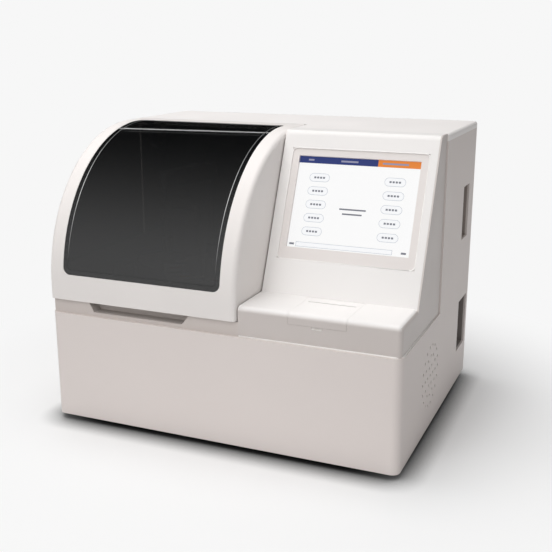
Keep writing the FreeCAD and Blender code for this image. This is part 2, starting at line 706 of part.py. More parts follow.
reagent_sizes = {
    "reagent_across": 237, "reagent_deep": 190, "disk_radius": 105, "disk_thick": 4, "disk_rise": 21,
    "tray_radius": 102, "tray_thick": 2, "tray_rise": 4, "disk_hub": 24, "shaft_radius": 5,
    "shaft_play": 0.05, "bottle_ring": 84, "bottle_length": 30, "bottle_heel": 20, "bottle_toe": 31,
    "bottle_height": 34, "bottle_neck": 9, "bottle_mouth": 7, "neck_height": 7, "bottle_count": 16,
    "socket_play": 0.4, "tube_ring": 58, "tube_radius": 6.5, "tube_wall": 1, "tube_height": 51,
    "tube_count": 16, "tube_phase": 162.8, "tube_sides": 12,
    "handle_radius": 20, "handle_height": 55, "handle_grip": 12,
    "handle_grip_height": 18,
}
driving(reagent_sizes)
derive({
    "reagent_x": "left + reagent_across", "reagent_y": "front + reagent_deep",
    "disk_top": "deck_height + disk_rise + disk_thick", "disk_low": "deck_height + disk_rise",
    "tray_low": "deck_height + tray_rise", "tray_top": "tray_low + tray_thick",
})

# Reaction disk, its cuvettes and the tub that warms them

reaction_sizes = {
    "reaction_across": 79, "reaction_deep": 262, "reaction_radius": 60, "reaction_thick": 4,
    "reaction_rise": 23, "cuvette_ring": 50, "cuvette_size": 7, "cuvette_wall": 0.8,
    "cuvette_height": 40, "cuvette_proud": 3, "cuvette_count": 32, "cuvette_phase": -94.7,
    "tub_gap": 1.2, "tub_wall": 2.8, "tub_drop": 17, "tub_lip": 2, "tub_sides": 24, "reaction_knob": 16,
    "reaction_knob_height": 10,
}
driving(reaction_sizes)
derive({
    "reaction_x": "left + reaction_across", "reaction_y": "front + reaction_deep",
    "reaction_low": "deck_height + reaction_rise", "reaction_top": "reaction_low + reaction_thick",
    "tub_floor": "deck_height - tub_drop", "tub_inner": "reaction_radius + tub_gap",
    "tub_outer": "tub_inner + tub_wall",
    "cuvette_top": "reaction_top + cuvette_proud",
})

# Gears under the deck

gear_sizes = {
    "tooth_module": 2, "reagent_teeth": 48, "reagent_pinion_teeth": 16, "reaction_teeth": 48,
    "reaction_pinion_teeth": 16, "gear_thick": 8, "gear_backlash": 0.3, "pressure_angle": 20,
    "root_clearance": 0.4, "reagent_gear_drop": 25, "reaction_gear_drop": 37,
    "pinion_shaft": 2.5, "motor_side": 44, "motor_length": 48, "motor_gap": 3, "motor_post": 6,
    "web_count": 6, "web_hole": 9,
}
driving(gear_sizes)
derive({
    "reagent_gear_level": "deck_height - reagent_gear_drop",
    "reaction_gear_level": "deck_height - reaction_gear_drop",
    "reagent_pitch": "tooth_module * reagent_teeth / 2",
    "reagent_pinion_pitch": "tooth_module * reagent_pinion_teeth / 2",
    "reaction_pitch": "tooth_module * reaction_teeth / 2",
    "reaction_pinion_pitch": "tooth_module * reaction_pinion_teeth / 2",
    "web_ring": "(reagent_pitch + shaft_radius) / 2",
    "reagent_motor_x": "reagent_x + reagent_pitch + reagent_pinion_pitch",
    "reaction_motor_x": "reaction_x + reaction_pitch + reaction_pinion_pitch",
})


def wedges(name, grow, low, high):
    """The ring of wedge shapes that the bottles have, grown by a margin."""
    inner = "bottle_ring - bottle_length / 2 - (%s)" % grow
    outer = "bottle_ring + bottle_length / 2 + %s" % grow
    heel = "(bottle_heel / 2 + %s)" % grow
    toe = "(bottle_toe / 2 + %s)" % grow
    body = extrude(name, "XY_Plane", [(inner, "-" + heel), (outer, "-" + toe), (outer, toe), (inner, heel)],
                   low, high)
    return ring_of(move(body, "reagent_x", "reagent_y"), "bottle_count")


def on_ring(name, ring, phase, radius, low, high, count):
    """Upright bars with flat sides round the reagent disk's axis."""
    start = ("reagent_x + %s * cos(%s)" % (ring, phase), "reagent_y + %s * sin(%s)" % (ring, phase), low)
    bar = prism(name, "z", start, radius, "(%s) - (%s)" % (high, low), "tube_sides")
    return copies(bar, ring_places(ring, phase, count))


def make_reagent_disk():
    plate = revolve("ReagentPlate", [
        ("0", "reagent_gear_level"), ("shaft_radius", "reagent_gear_level"), ("shaft_radius", "tray_low"),
        ("tray_radius", "tray_low"), ("tray_radius", "tray_top"), ("disk_hub", "tray_top"),
        ("disk_hub", "disk_low"), ("disk_radius", "disk_low"), ("disk_radius", "disk_top"),
        ("0", "disk_top"),
    ], ("reagent_x", "reagent_y", "0"))
    pockets = wedges("BottlePockets", "socket_play", "disk_low - overrun", "disk_top + overrun")
    holes = on_ring("TubeHole", "tube_ring", "tube_phase", "tube_radius + socket_play",
                    "disk_low - overrun", "disk_top + overrun", "tube_count")
    node("reagent_disk", cut("ReagentDisk", plate, pockets, *holes))


def make_handle():
    """A fluted grip between two flanges, by which the disk is lifted out."""
    def part(name, low, radius, length):
        return prism(name, "z", ("reagent_x", "reagent_y", low), radius, length, "tube_sides")
    grip_low = "disk_top + handle_height - handle_grip_height"
    node("disk_handle", fuse(
        "DiskHandle", part("HandleFoot", "disk_top", "handle_radius", "tray_rise"),
        part("HandleStem", "disk_top", "handle_grip", "handle_height"),
        part("HandleKnob", grip_low, "handle_radius", "handle_grip_height")))


def make_bottles():
    bodies = wedges("BottleBodies", "0", "tray_top", "tray_top + bottle_height")
    top = "tray_top + bottle_height + neck_height"
    necks = on_ring("BottleNeck", "bottle_ring", "0", "bottle_neck", "tray_top + bottle_height", top,
                    "bottle_count")
    mouths = on_ring("BottleMouth", "bottle_ring", "0", "bottle_mouth", "tray_top + tube_wall",
                     top + " + overrun", "bottle_count")
    node("reagent_bottles", cut("Bottles", fuse("BottleSolids", bodies, *necks), *mouths))
    tube = prism("Tube", "z", ("reagent_x + tube_ring * cos(tube_phase)",
                               "reagent_y + tube_ring * sin(tube_phase)", "tray_top"),
                 "tube_radius", "tube_height", "tube_sides")
    hollow = prism("TubeHollow", "z", ("reagent_x + tube_ring * cos(tube_phase)",
                                       "reagent_y + tube_ring * sin(tube_phase)", "tray_top + tube_wall"),
                   "tube_radius - tube_wall", "tube_height", "tube_sides")
    shell = cut("TubeShell", tube, hollow)
    node("sample_tubes", group("Tubes", *copies(shell, ring_places("tube_ring", "tube_phase", "tube_count"))))


def cuvette_prism(name, half, low, high):
    """A ring of upright square prisms about the reaction disk's axis."""
    body = extrude(name, "XY_Plane", [
        ("cuvette_ring + %s" % half, "-(%s)" % half), ("cuvette_ring + %s" % half, half),
        ("cuvette_ring - (%s)" % half, half), ("cuvette_ring - (%s)" % half, "-(%s)" % half),
    ], low, high)
    move(body, "reaction_x", "reaction_y")
    return turn(ring_of(body, "cuvette_count"), (0, 0, 1), "cuvette_phase")


def make_reaction_disk():
    at = ("reaction_x", "reaction_y", "0")
    plate = revolve("ReactionPlate", [
        ("0", "reaction_gear_level"), ("shaft_radius", "reaction_gear_level"),
        ("shaft_radius", "reaction_low"), ("reaction_radius", "reaction_low"),
        ("reaction_radius", "reaction_top"), ("0", "reaction_top"),
    ], at)
    knob = prism("ReactionKnob", "z", ("reaction_x", "reaction_y", "reaction_top"), "reaction_knob",
                 "reaction_knob_height", "tube_sides")
    holes = cuvette_prism("CuvetteHoles", "(cuvette_size / 2 + fit / 2)", "reaction_low - overrun",
                          "reaction_top + overrun")
    node("reaction_disk", fuse("ReactionDisk", cut("ReactionHoled", plate, holes), knob))
    outer = cuvette_prism("CuvetteOuter", "cuvette_size / 2", "cuvette_top - cuvette_height", "cuvette_top")
    inner = cuvette_prism("CuvetteInner", "(cuvette_size / 2 - cuvette_wall)",
                          "cuvette_top - cuvette_height + cuvette_wall", "cuvette_top + overrun")
    node("cuvettes", cut("Cuvettes", outer, inner))
    tub_at = ("reaction_x", "reaction_y")
    wall = prism("TubWall", "z", tub_at + ("tub_floor",), "tub_outer", "deck_height + tub_wall - tub_floor",
                 "tub_sides")
    lip = prism("TubLip", "z", tub_at + ("deck_height",), "tub_outer + tub_lip", "tub_wall", "tub_sides")
    basin = rod("TubBasin", "z", tub_at + ("tub_floor + tub_wall",), "tub_inner",
                "deck_height - tub_floor + overrun")
    eye = rod("TubEye", "z", tub_at + ("tub_floor - overrun",), "shaft_radius + shaft_play",
              "tub_wall + 2 * overrun")
    node("reaction_tub", cut("ReactionTub", fuse("TubSolid", wall, lip), basin, eye))


def gear(name, teeth, at, level, bore, turned):
    """An involute spur gear; a turn of half a tooth puts a gap where the other has a tooth."""
    count = int(value(teeth))
    pitch = value("tooth_module * %s / 2" % teeth)
    base = pitch * math.cos(math.radians(value("pressure_angle")))
    tip = pitch + value("tooth_module")
    root = pitch - value("tooth_module + root_clearance")

    def flank(radius):
        """Half the tooth's angle at a radius."""
        def roll(distance):
            cosine = min(base / distance, 1)
            return math.tan(math.acos(cosine)) - math.acos(cosine)
        half = math.pi / count / 2 - value("gear_backlash") / pitch / 2
        return half + roll(pitch) - roll(max(radius, base))

    points = []
    for tooth in range(count):
        middle = 2 * math.pi * tooth / count + math.pi / count * turned
        for radius, side in ((root, -1), (pitch, -1), (tip, -1), (tip, 1), (pitch, 1), (root, 1)):
            angle = middle + side * flank(radius)
            points.append(Vector(radius * math.cos(angle), radius * math.sin(angle), 0))
    wire = Part.makePolygon(points + points[:1])
    solid = Part.Face(wire).extrude(Vector(0, 0, value("gear_thick")))
    hole = Part.makeCylinder(value(bore), value("gear_thick"))
    item = doc.addObject("Part::Feature", name)
    item.Shape = solid.cut(hole)
    return move(item, *at, level)


def make_gears():
    reagent = gear("ReagentGear", "reagent_teeth", ("reagent_x", "reagent_y"), "reagent_gear_level",
                   "shaft_radius + shaft_play", 0)
    web = prism("GearWeb", "z", ("reagent_x + web_ring", "reagent_y", "reagent_gear_level - overrun"),
                "web_hole", "gear_thick + 2 * overrun", "web_count")
    webs = copies(web, ring_places("web_ring", "0", "web_count"))
    node("reagent_gear", cut("ReagentWheel", reagent, *webs))
    node("reagent_pinion", gear("ReagentPinion", "reagent_pinion_teeth", ("reagent_motor_x", "reagent_y"),
                                "reagent_gear_level", "pinion_shaft", 1))
    node("reaction_gear", gear("ReactionGear", "reaction_teeth", ("reaction_x", "reaction_y"),
                               "reaction_gear_level", "shaft_radius + shaft_play", 0))
    node("reaction_pinion", gear("ReactionPinion", "reaction_pinion_teeth",
                                 ("reaction_motor_x", "reaction_y"), "reaction_gear_level",
                                 "pinion_shaft", 1))


def motor(label, name, x, y, level):
    """A square motor hung from the deck by two posts on the side away from the gear."""
    top = "%s - motor_gap" % level
    can = block(name + "Can", ("%s - motor_side / 2" % x, "%s + motor_side / 2" % x),
                ("%s - motor_side / 2" % y, "%s + motor_side / 2" % y), ("%s - motor_length" % top, top))
    post = block(name + "Post", ("%s + motor_side / 2 - motor_post" % x, "%s + motor_side / 2" % x),
                 ("%s - motor_side / 2" % y, "%s - motor_side / 2 + motor_post" % y), (top, "deck_under"))
    posts = copies(post, [("0", "motor_side - motor_post", "0")])
    shaft = rod(name + "Shaft", "z", (x, y, top), "pinion_shaft - shaft_play", "motor_gap + gear_thick")
    node(label, fuse(name, can, shaft, *posts))


make_reagent_disk()
make_handle()
make_bottles()
make_reaction_disk()
make_gears()
motor("reagent_motor", "ReagentMotor", "reagent_motor_x", "reagent_y", "reagent_gear_level")
motor("reaction_motor", "ReactionMotor", "reaction_motor_x", "reaction_y", "reaction_gear_level")


# Sample probe and mixer, each an arm on a column that a carriage lifts

arm_sizes = {
    "probe_across": 135, "probe_deep": 355, "probe_length": 155, "probe_rest": -96,
    "probe_rise": 180, "probe_thick": 30, "probe_boss": 14, "probe_nose": 9, "probe_rod": 6,
    "probe_drop": 107, "probe_tip_rise": 65, "needle_radius": 0.75, "needle_holder": 4,
    "needle_holder_drop": 20, "mixer_across": 27, "mixer_deep": 362, "mixer_length": 83.7,
    "mixer_rest": -15, "mixer_rise": 85, "mixer_thick": 22, "mixer_boss": 12, "mixer_nose": 9,
    "mixer_rod": 5, "mixer_drop": 77, "mixer_tip_rise": 37, "paddle_radius": 1.5, "paddle_blade": 2,
    "paddle_blade_thick": 1, "paddle_blade_height": 10, "mixer_can": 8, "mixer_can_height": 20,
    "bushing_wall": 5, "bushing_rise": 45, "bushing_drop": 10, "bushing_flange": 4,
    "collar": 3, "collar_thick": 4, "carriage_thick": 16, "carriage_width": 44, "carriage_depth": 26,
    "guide_side": 7, "guide_spread": 15, "guide_base": 10, "well_radius": 6.5, "well_bore": 4,
    "well_height": 35, "well_floor": 6, "running_gap": 0.4,
}
driving(arm_sizes)
derive({
    "probe_x": "left + probe_across", "probe_y": "front + probe_deep",
    "probe_level": "deck_height + probe_rise", "probe_foot": "deck_height - probe_drop",
    "probe_tip": "deck_height + probe_tip_rise",
    "mixer_x": "left + mixer_across", "mixer_y": "front + mixer_deep",
    "mixer_level": "deck_height + mixer_rise", "mixer_foot": "deck_height - mixer_drop",
    "mixer_tip": "deck_height + mixer_tip_rise",
    "probe_carriage_level": "probe_foot + collar_thick + running_gap",
    "mixer_carriage_level": "mixer_foot + collar_thick + running_gap",
})


def bushing(name, at, radius):
    """A flanged sleeve in the deck that steadies a lift rod."""
    sleeve = prism(name + "Sleeve", "z", at + ("deck_height - bushing_drop",), "%s + bushing_wall" % radius,
                   "bushing_drop + bushing_rise", "tube_sides")
    flange = prism(name + "Flange", "z", at + ("deck_height",), "%s + bushing_wall + bushing_flange" % radius,
                   "bushing_flange", "tube_sides")
    bore = rod(name + "Bore", "z", at + ("deck_height - bushing_drop - overrun",), "%s + shaft_play" % radius,
               "bushing_drop + bushing_rise + 2 * overrun")
    return cut(name, fuse(name + "Solid", sleeve, flange), bore)


def column(name, at, radius, foot, top):
    """A lift rod with a collar each side of its carriage."""
    shaft = rod(name + "Shaft", "z", at + (foot,), radius, "%s - %s" % (top, foot))
    collar = prism(name + "Collar", "z", at + (foot,), "%s + collar" % radius, "collar_thick", "tube_sides")
    collars = copies(collar, [("0", "0", "collar_thick + 2 * running_gap + carriage_thick")])
    return fuse(name, shaft, *collars)


def carriage(name, at, radius, level):
    """A slide block that grips the lift rod and runs on two rails."""
    x, y = at
    half = "(guide_side / 2 + fit)"
    slab = block(name + "Slab", ("%s - carriage_depth / 2" % x, "%s + carriage_depth / 2" % x),
                 ("%s - carriage_width / 2" % y, "%s + carriage_width / 2" % y),
                 (level, "%s + carriage_thick" % level))
    bore = rod(name + "Bore", "z", (x, y, "%s - overrun" % level), "%s + shaft_play" % radius,
               "carriage_thick + 2 * overrun")
    slot = block(name + "RailSlot", ("%s - %s" % (x, half), "%s + %s" % (x, half)),
                 ("%s - guide_spread - %s" % (y, half), "%s - guide_spread + %s" % (y, half)),
                 ("%s - overrun" % level, "%s + carriage_thick + overrun" % level))
    return cut(name, slab, bore, *copies(slot, [("0", "2 * guide_spread", "0")]))


def guides(name, at):
    """Two square rails from the chassis plate to the deck, with a foot block."""
    x, y = at
    base = block(name + "Base", ("%s - carriage_depth / 2" % x, "%s + carriage_depth / 2" % x),
                 ("%s - carriage_width / 2" % y, "%s + carriage_width / 2" % y),
                 ("chassis_top", "chassis_top + guide_base"))
    rail = block(name + "Rail", ("%s - guide_side / 2" % x, "%s + guide_side / 2" % x),
                 ("%s - guide_spread - guide_side / 2" % y, "%s - guide_spread + guide_side / 2" % y),
                 ("chassis_top", "deck_under"))
    return fuse(name, base, *copies(rail, [("0", "2 * guide_spread", "0")]))


def arm(name, at, length, rest, boss, nose, level, thick):
    """A tapered arm, drawn along X and then turned to its rest direction."""
    heel = rod(name + "Heel", "z", ("0", "0", level), boss, thick)
    toe = rod(name + "Toe", "z", (length, "0", level), nose, thick)
    web = extrude(name + "Web", "XY_Plane", [("0", "-" + boss), (length, "-" + nose), (length, nose),
                                             ("0", boss)], level, "%s + %s" % (level, thick))
    doc.recompute()
    item = fuse(name, heel, toe, web)
    move(item, *at)
    return turn(item, (0, 0, 1), rest)


def make_probe():
    at = ("probe_x", "probe_y")
    tip = ("probe_x + probe_length * cos(probe_rest)", "probe_y + probe_length * sin(probe_rest)")
    node("probe_column", column("ProbeColumn", at, "probe_rod", "probe_foot", "probe_level"))
    node("probe_carriage", carriage("ProbeCarriage", at, "probe_rod", "probe_carriage_level"))
    node("probe_arm", arm("ProbeArm", at, "probe_length", "probe_rest", "probe_boss", "probe_nose",
                          "probe_level", "probe_thick"))
    needle = rod("NeedleTube", "z", tip + ("probe_tip",), "needle_radius", "probe_level - probe_tip")
    holder = prism("NeedleHolder", "z", tip + ("probe_level - needle_holder_drop",), "needle_holder",
                   "needle_holder_drop", "tube_sides")
    node("probe_needle", fuse("ProbeNeedle", needle, holder))


def well(name, at):
    """An open wash well on the deck under an arm's tip."""
    outer = prism(name + "Outer", "z", at + ("deck_height",), "well_radius", "well_height", "tube_sides")
    bore = prism(name + "Bore", "z", at + ("deck_height + well_floor",), "well_bore", "well_height",
                 "tube_sides")
    return cut(name, outer, bore)


def make_mixer():
    at = ("mixer_x", "mixer_y")
    tip = ("mixer_x + mixer_length * cos(mixer_rest)", "mixer_y + mixer_length * sin(mixer_rest)")
    node("mixer_column", column("MixerColumn", at, "mixer_rod", "mixer_foot", "mixer_level"))
    node("mixer_carriage", carriage("MixerCarriage", at, "mixer_rod", "mixer_carriage_level"))
    beam = arm("MixerBeam", at, "mixer_length", "mixer_rest", "mixer_boss", "mixer_nose", "mixer_level",
               "mixer_thick")
    bore = rod("MixerBore", "z", tip + ("mixer_level - overrun",), "paddle_radius + shaft_play",
               "mixer_thick / 2 + overrun")
    can = rod("MixerCan", "z", tip + ("mixer_level + mixer_thick",), "mixer_can", "mixer_can_height")
    node("mixer_arm", cut("MixerArm", fuse("MixerHead", beam, can), bore))
    shaft = rod("PaddleShaft", "z", tip + ("mixer_tip",), "paddle_radius",
                "mixer_level + mixer_thick / 2 - mixer_tip - running_gap")
    blade = block("PaddleBlade", (tip[0] + " - paddle_blade", tip[0] + " + paddle_blade"),
                  (tip[1] + " - paddle_blade_thick / 2", tip[1] + " + paddle_blade_thick / 2"),
                  ("mixer_tip", "mixer_tip + paddle_blade_height"))
    node("mixer_paddle", fuse("Paddle", shaft, blade))
    probe_tip_at = ("probe_x + probe_length * cos(probe_rest)", "probe_y + probe_length * sin(probe_rest)")
    node("wash_wells", group("Wells", well("ProbeWell", probe_tip_at), well("MixerWell", tip)))


def make_lift_guides():
    places = (("Probe", ("probe_x", "probe_y"), "probe_rod"), ("Mixer", ("mixer_x", "mixer_y"), "mixer_rod"))
    node("arm_bushings", group("Bushings", *[bushing(name + "Bushing", at, radius)
                                             for name, at, radius in places]))
    node("lift_guides", group("LiftGuides", *[guides(name + "Guides", at) for name, at, radius in places]))


def make_deck():
    plate = block("DeckPlate", ("liner_left", "console_left"), ("deck_front", "liner_rear + cover_wall"),
                  ("deck_under", "deck_height"))
    bores = [
        ("ReagentShaftHole", "reagent_x", "reagent_y", "shaft_radius + shaft_play"),
        ("TubHole", "reaction_x", "reaction_y", "tub_outer + fit"),
        ("ProbeHole", "probe_x", "probe_y", "probe_rod + bushing_wall + fit"),
        ("MixerHole", "mixer_x", "mixer_y", "mixer_rod + bushing_wall + fit"),
    ]
    holes = [rod(name, "z", (x, y, "deck_under - overrun"), radius, "deck_thick + 2 * overrun")
             for name, x, y, radius in bores]
    node("work_deck", cut("Deck", plate, *holes))


# Photometer, syringe pump and the pumps below the deck

fluid_sizes = {
    "photometer_left": 16, "photometer_width": 28, "photometer_deep": 175, "photometer_length": 28,
    "photometer_height": 32, "lens_radius": 6, "lens_length": 4,
    "syringe_across": 290, "syringe_deep": 360, "barrel_radius": 10, "barrel_bore": 8, "barrel_drop": 97,
    "syringe_head": 30, "syringe_head_height": 34, "plunger_thick": 6, "plunger_stem": 3,
    "plunger_foot": 8, "plunger_drop": 62, "plunger_rest": 4,
    "pump_width": 38, "pump_length": 60, "pump_height": 46, "pump_across": 42, "pump_pitch": 52,
    "pump_deep": 400, "pump_rotor": 15, "pump_rotor_length": 12,
}
driving(fluid_sizes)
derive({
    "syringe_x": "left + syringe_across", "syringe_y": "front + syringe_deep",
    "barrel_low": "deck_height - barrel_drop", "barrel_top": "deck_under - syringe_head_height",
    "plunger_low": "barrel_low + plunger_rest",
    "pump_left": "left + pump_across", "pump_front": "front + pump_deep",
})


def make_photometer():
    housing = block("PhotometerBox", ("left + photometer_left", "left + photometer_left + photometer_width"),
                    ("front + photometer_deep", "front + photometer_deep + photometer_length"),
                    ("deck_height", "deck_height + photometer_height"))
    lens = rod("PhotometerLens", "y", ("left + photometer_left + photometer_width / 2",
                                       "front + photometer_deep + photometer_length",
                                       "deck_height + photometer_height / 2"), "lens_radius", "lens_length")
    node("photometer", fuse("Photometer", housing, lens))


def make_syringe():
    head = block("SyringeHead", ("syringe_x - syringe_head / 2", "syringe_x + syringe_head / 2"),
                 ("syringe_y - syringe_head / 2", "syringe_y + syringe_head / 2"),
                 ("barrel_top", "deck_under"))
    barrel = revolve("Barrel", [
        ("barrel_bore", "barrel_low"), ("barrel_radius", "barrel_low"), ("barrel_radius", "barrel_top"),
        ("barrel_bore", "barrel_top"),
    ], ("syringe_x", "syringe_y", "0"))
    node("syringe_pump", fuse("Syringe", head, barrel))
    at = ("syringe_x", "syringe_y")
    foot = prism("PlungerFoot", "z", at + ("plunger_low - plunger_drop",), "plunger_foot", "plunger_stem",
                 "tube_sides")
    stem = prism("PlungerStem", "z", at + ("plunger_low - plunger_drop",), "plunger_stem", "plunger_drop",
                 "tube_sides")
    piston = rod("Piston", "z", at + ("plunger_low",), "barrel_bore - shaft_play", "plunger_thick")
    node("syringe_plunger", fuse("Plunger", foot, stem, piston))


def make_pumps():
    case = block("PumpCase", ("pump_left", "pump_left + pump_width"),
                 ("pump_front", "pump_front + pump_length"), ("chassis_top", "chassis_top + pump_height"))
    head = prism("PumpHead", "y", ("pump_left + pump_width / 2", "pump_front - pump_rotor_length",
                                   "chassis_top + pump_height / 2"), "pump_rotor", "pump_rotor_length",
                 "tube_sides")
    pump = fuse("Pump", case, head)
    node("fluid_pumps", group("Pumps", *copies(pump, [("pump_pitch", "0", "0")])))


make_probe()
make_mixer()
make_lift_guides()
make_deck()
make_photometer()
make_syringe()
make_pumps()


# Printer: hinged flap with the platen, and the bucket with the roll and head

printer_sizes = {
    "bucket_wall": 2.5, "bucket_side": 9, "bucket_drop": 53,
    "ear_gap": 1, "platen_radius": 5, "platen_forward": 27, "platen_below": 9, "platen_half": 29,
    "platen_axle": 2, "axle_reach": 3, "slot_forward": 21, "slot_length": 82, "slot_width": 3,
    "roll_radius": 21, "roll_half": 28.5, "roll_forward": 58, "roll_below": 28,
    "spindle_radius": 4, "head_length": 14, "head_height": 9, "head_gap": 0.4,
    "flap_pin": 1.5,
}
driving(printer_sizes)
derive({
    "platen_y": "knuckle_back - platen_forward", "platen_z": "knuckle_level - platen_below",
    "roll_y": "knuckle_back - roll_forward", "roll_z": "knuckle_level - roll_below",
    "bucket_left": "flap_left + bucket_side", "bucket_right": "flap_right - bucket_side",
    "bucket_floor": "shelf_height - bucket_drop - bucket_wall",
    "bucket_start": "console_front + rim_width + ear_gap", "bucket_end": "knuckle_back + knuckle_radius",
})


def make_flap():
    plate = extrude("FlapPlate", "YZ_Plane", [
        ("console_front", "shelf_height - flap_lip"),
        ("console_front", "shelf_height - shelf_round", "-shelf_round"),
        ("console_front + shelf_round", "shelf_height"), ("knuckle_back", "shelf_height"),
        ("knuckle_back", "shelf_height - flap_thick"),
        ("console_front + shelf_round", "shelf_height - flap_thick", "shelf_round - flap_thick"),
        ("console_front + flap_thick", "shelf_height - shelf_round"),
        ("console_front + flap_thick", "shelf_height - flap_lip"),
    ], "flap_left", "flap_right")
    knuckle = rod("FlapKnuckle", "x", ("flap_left", "knuckle_back", "knuckle_level"), "knuckle_radius",
                  "flap_width")
    slot = block("PaperSlot", ("flap_middle - slot_length / 2", "flap_middle + slot_length / 2"),
                 ("knuckle_back - slot_forward - slot_width", "knuckle_back - slot_forward"),
                 ("shelf_height - flap_thick - overrun", "shelf_height + overrun"))
    side = "flap_middle - platen_half - ear_gap"
    ear = rod("PlatenEar", "x", (side + " - ear_thick", "platen_y", "platen_z"), "ear_radius", "ear_thick")
    stalk = block("PlatenStalk", (side + " - ear_thick", side),
                  ("platen_y - ear_radius", "platen_y + ear_radius"),
                  ("platen_z", "shelf_height - flap_thick"))
    hole = rod("PlatenHole", "x", (side + " - ear_thick - overrun", "platen_y", "platen_z"),
               "platen_axle + shaft_play", "ear_thick + 2 * overrun")
    hanger = cut("PlatenHanger", fuse("HangerSolid", ear, stalk), hole)
    hangers = copies(hanger, [("2 * platen_half + 2 * ear_gap + ear_thick", "0", "0")])
    bore = rod("KnuckleBore", "x", ("flap_left - overrun", "knuckle_back", "knuckle_level"),
               "flap_pin + shaft_play", "flap_width + 2 * overrun")
    node("printer_flap", cut("Flap", fuse("FlapSolid", plate, knuckle, *hangers), slot, bore))
    roller = rod("PlatenRoller", "x", ("flap_middle - platen_half", "platen_y", "platen_z"),
                 "platen_radius", "2 * platen_half")
    reach = "(platen_half + ear_gap + axle_reach)"
    axle = rod("PlatenAxle", "x", ("flap_middle - " + reach, "platen_y", "platen_z"), "platen_axle",
               "2 * " + reach)
    node("platen_roller", fuse("Platen", roller, axle))


def pillar(name, outer, inner, tub_side):
    """A post beside the bucket that holds one end of the flap's pin."""
    depth = ("knuckle_back - ear_radius", "slope_foot - fit")
    post = block(name + "Post", (outer, inner), depth, ("bucket_floor", "shelf_height"))
    foot = block(name + "Foot", tub_side, depth, ("bucket_floor", "bucket_floor + bucket_wall"))
    return fuse(name, post, foot)


def make_bucket():
    outer = block("BucketOuter", ("bucket_left", "bucket_right"), ("bucket_start", "bucket_end"),
                  ("bucket_floor", "knuckle_level - knuckle_radius - ear_gap"))
    inner = block("BucketInner", ("bucket_left + bucket_wall", "bucket_right - bucket_wall"),
                  ("bucket_start + bucket_wall", "bucket_end - bucket_wall"),
                  ("bucket_floor + bucket_wall", "shelf_height"))
    seat = rod("SpindleSeat", "x", ("bucket_left - overrun", "roll_y", "roll_z"),
               "spindle_radius + shaft_play", "bucket_right - bucket_left + 2 * overrun")
    left_end = "flap_left - fit - ear_thick"
    right_end = "flap_right + fit + ear_thick"
    left_pillar = pillar("LeftPillar", left_end, "flap_left - fit", (left_end, "bucket_left"))
    right_pillar = pillar("RightPillar", "flap_right + fit", right_end, ("bucket_right", right_end))
    pin = rod("FlapPin", "x", (left_end, "knuckle_back", "knuckle_level"), "flap_pin",
              "flap_width + 2 * fit + 2 * ear_thick")
    tub = cut("Bucket", outer, inner, seat)
    node("printer_bucket", fuse("BucketWhole", tub, left_pillar, right_pillar, pin))
    node("print_head", block("PrintHead", ("flap_middle - platen_half", "flap_middle + platen_half"),
                             ("platen_y - head_length / 2", "platen_y + head_length / 2"),
                             ("platen_z - platen_radius - head_gap - head_height",
                              "platen_z - platen_radius - head_gap")))
    paper = rod("PaperBody", "x", ("flap_middle - roll_half", "roll_y", "roll_z"), "roll_radius",
                "2 * roll_half")
    spindle = rod("Spindle", "x", ("bucket_left", "roll_y", "roll_z"), "spindle_radius",
                  "bucket_right - bucket_left")
    node("paper_roll", fuse("Paper", paper, spindle))


# Cooling fan behind the vent holes

fan_sizes = {
    "fan_side": 120, "fan_depth": 25, "fan_bore": 57, "fan_hub": 24, "fan_can": 19, "blade_reach": 54.5,
    "blade_count": 7, "blade_chord": 16, "blade_thick": 1.6, "blade_depth": 17, "strut_width": 5,
    "strut_depth": 4, "fan_gap": 0.5, "hub_depth": 16,
}
driving(fan_sizes)
derive({"fan_back": "inner_right - fan_depth"})


def make_fan():
    frame = block("FanFrame", ("fan_back", "inner_right"),
                  ("vent_middle - fan_side / 2", "vent_middle + fan_side / 2"),
                  ("vent_height - fan_side / 2", "vent_height + fan_side / 2"))
    bore = rod("FanBore", "x", ("fan_back - overrun", "vent_middle", "vent_height"), "fan_bore",
               "fan_depth + 2 * overrun")
    can = rod("FanCan", "x", ("fan_back", "vent_middle", "vent_height"), "fan_can", "strut_depth")
    upright = block("FanUpright", ("fan_back", "fan_back + strut_depth"),
                    ("vent_middle - strut_width / 2", "vent_middle + strut_width / 2"),
                    ("vent_height - fan_bore - overrun", "vent_height + fan_bore + overrun"))
    crossbar = block("FanCrossbar", ("fan_back", "fan_back + strut_depth"),
                     ("vent_middle - fan_bore - overrun", "vent_middle + fan_bore + overrun"),
                     ("vent_height - strut_width / 2", "vent_height + strut_width / 2"))
    axle = rod("FanAxle", "x", ("fan_back", "vent_middle", "vent_height"), "pinion_shaft",
               "strut_depth + hub_depth / 2")
    node("fan_frame", fuse("Fan", cut("FanRim", frame, bore), can, upright, crossbar, axle))
    hub = revolve("FanHub", [
        ("0", "hub_depth / 2"), ("pinion_shaft + shaft_play", "hub_depth / 2"),
        ("pinion_shaft + shaft_play", "0"), ("fan_hub", "0"),
        ("fan_hub", "hub_depth - blade_thick"), ("fan_hub - blade_thick", "hub_depth"), ("0", "hub_depth"),
    ])
    blade = ring_of(extrude("FanBlades", "YZ_Plane", [
        ("-blade_chord / 2", "0"), ("-blade_chord / 2 + 2 * blade_thick", "0"),
        ("blade_chord / 2", "blade_depth - blade_thick"), ("blade_chord / 2", "blade_depth"),
        ("blade_chord / 2 - 2 * blade_thick", "blade_depth"), ("-blade_chord / 2", "blade_thick"),
    ], "fan_hub - blade_thick", "blade_reach"), "blade_count")
    doc.recompute()
    impeller = fuse("Impeller", hub, blade)
    move(impeller, "fan_back + strut_depth + fan_gap", "vent_middle", "vent_height")
    node("fan_impeller", turn(impeller, (0, 1, 0), "90"))


# Power inlet, rocker switch, fluid ports and the side bays

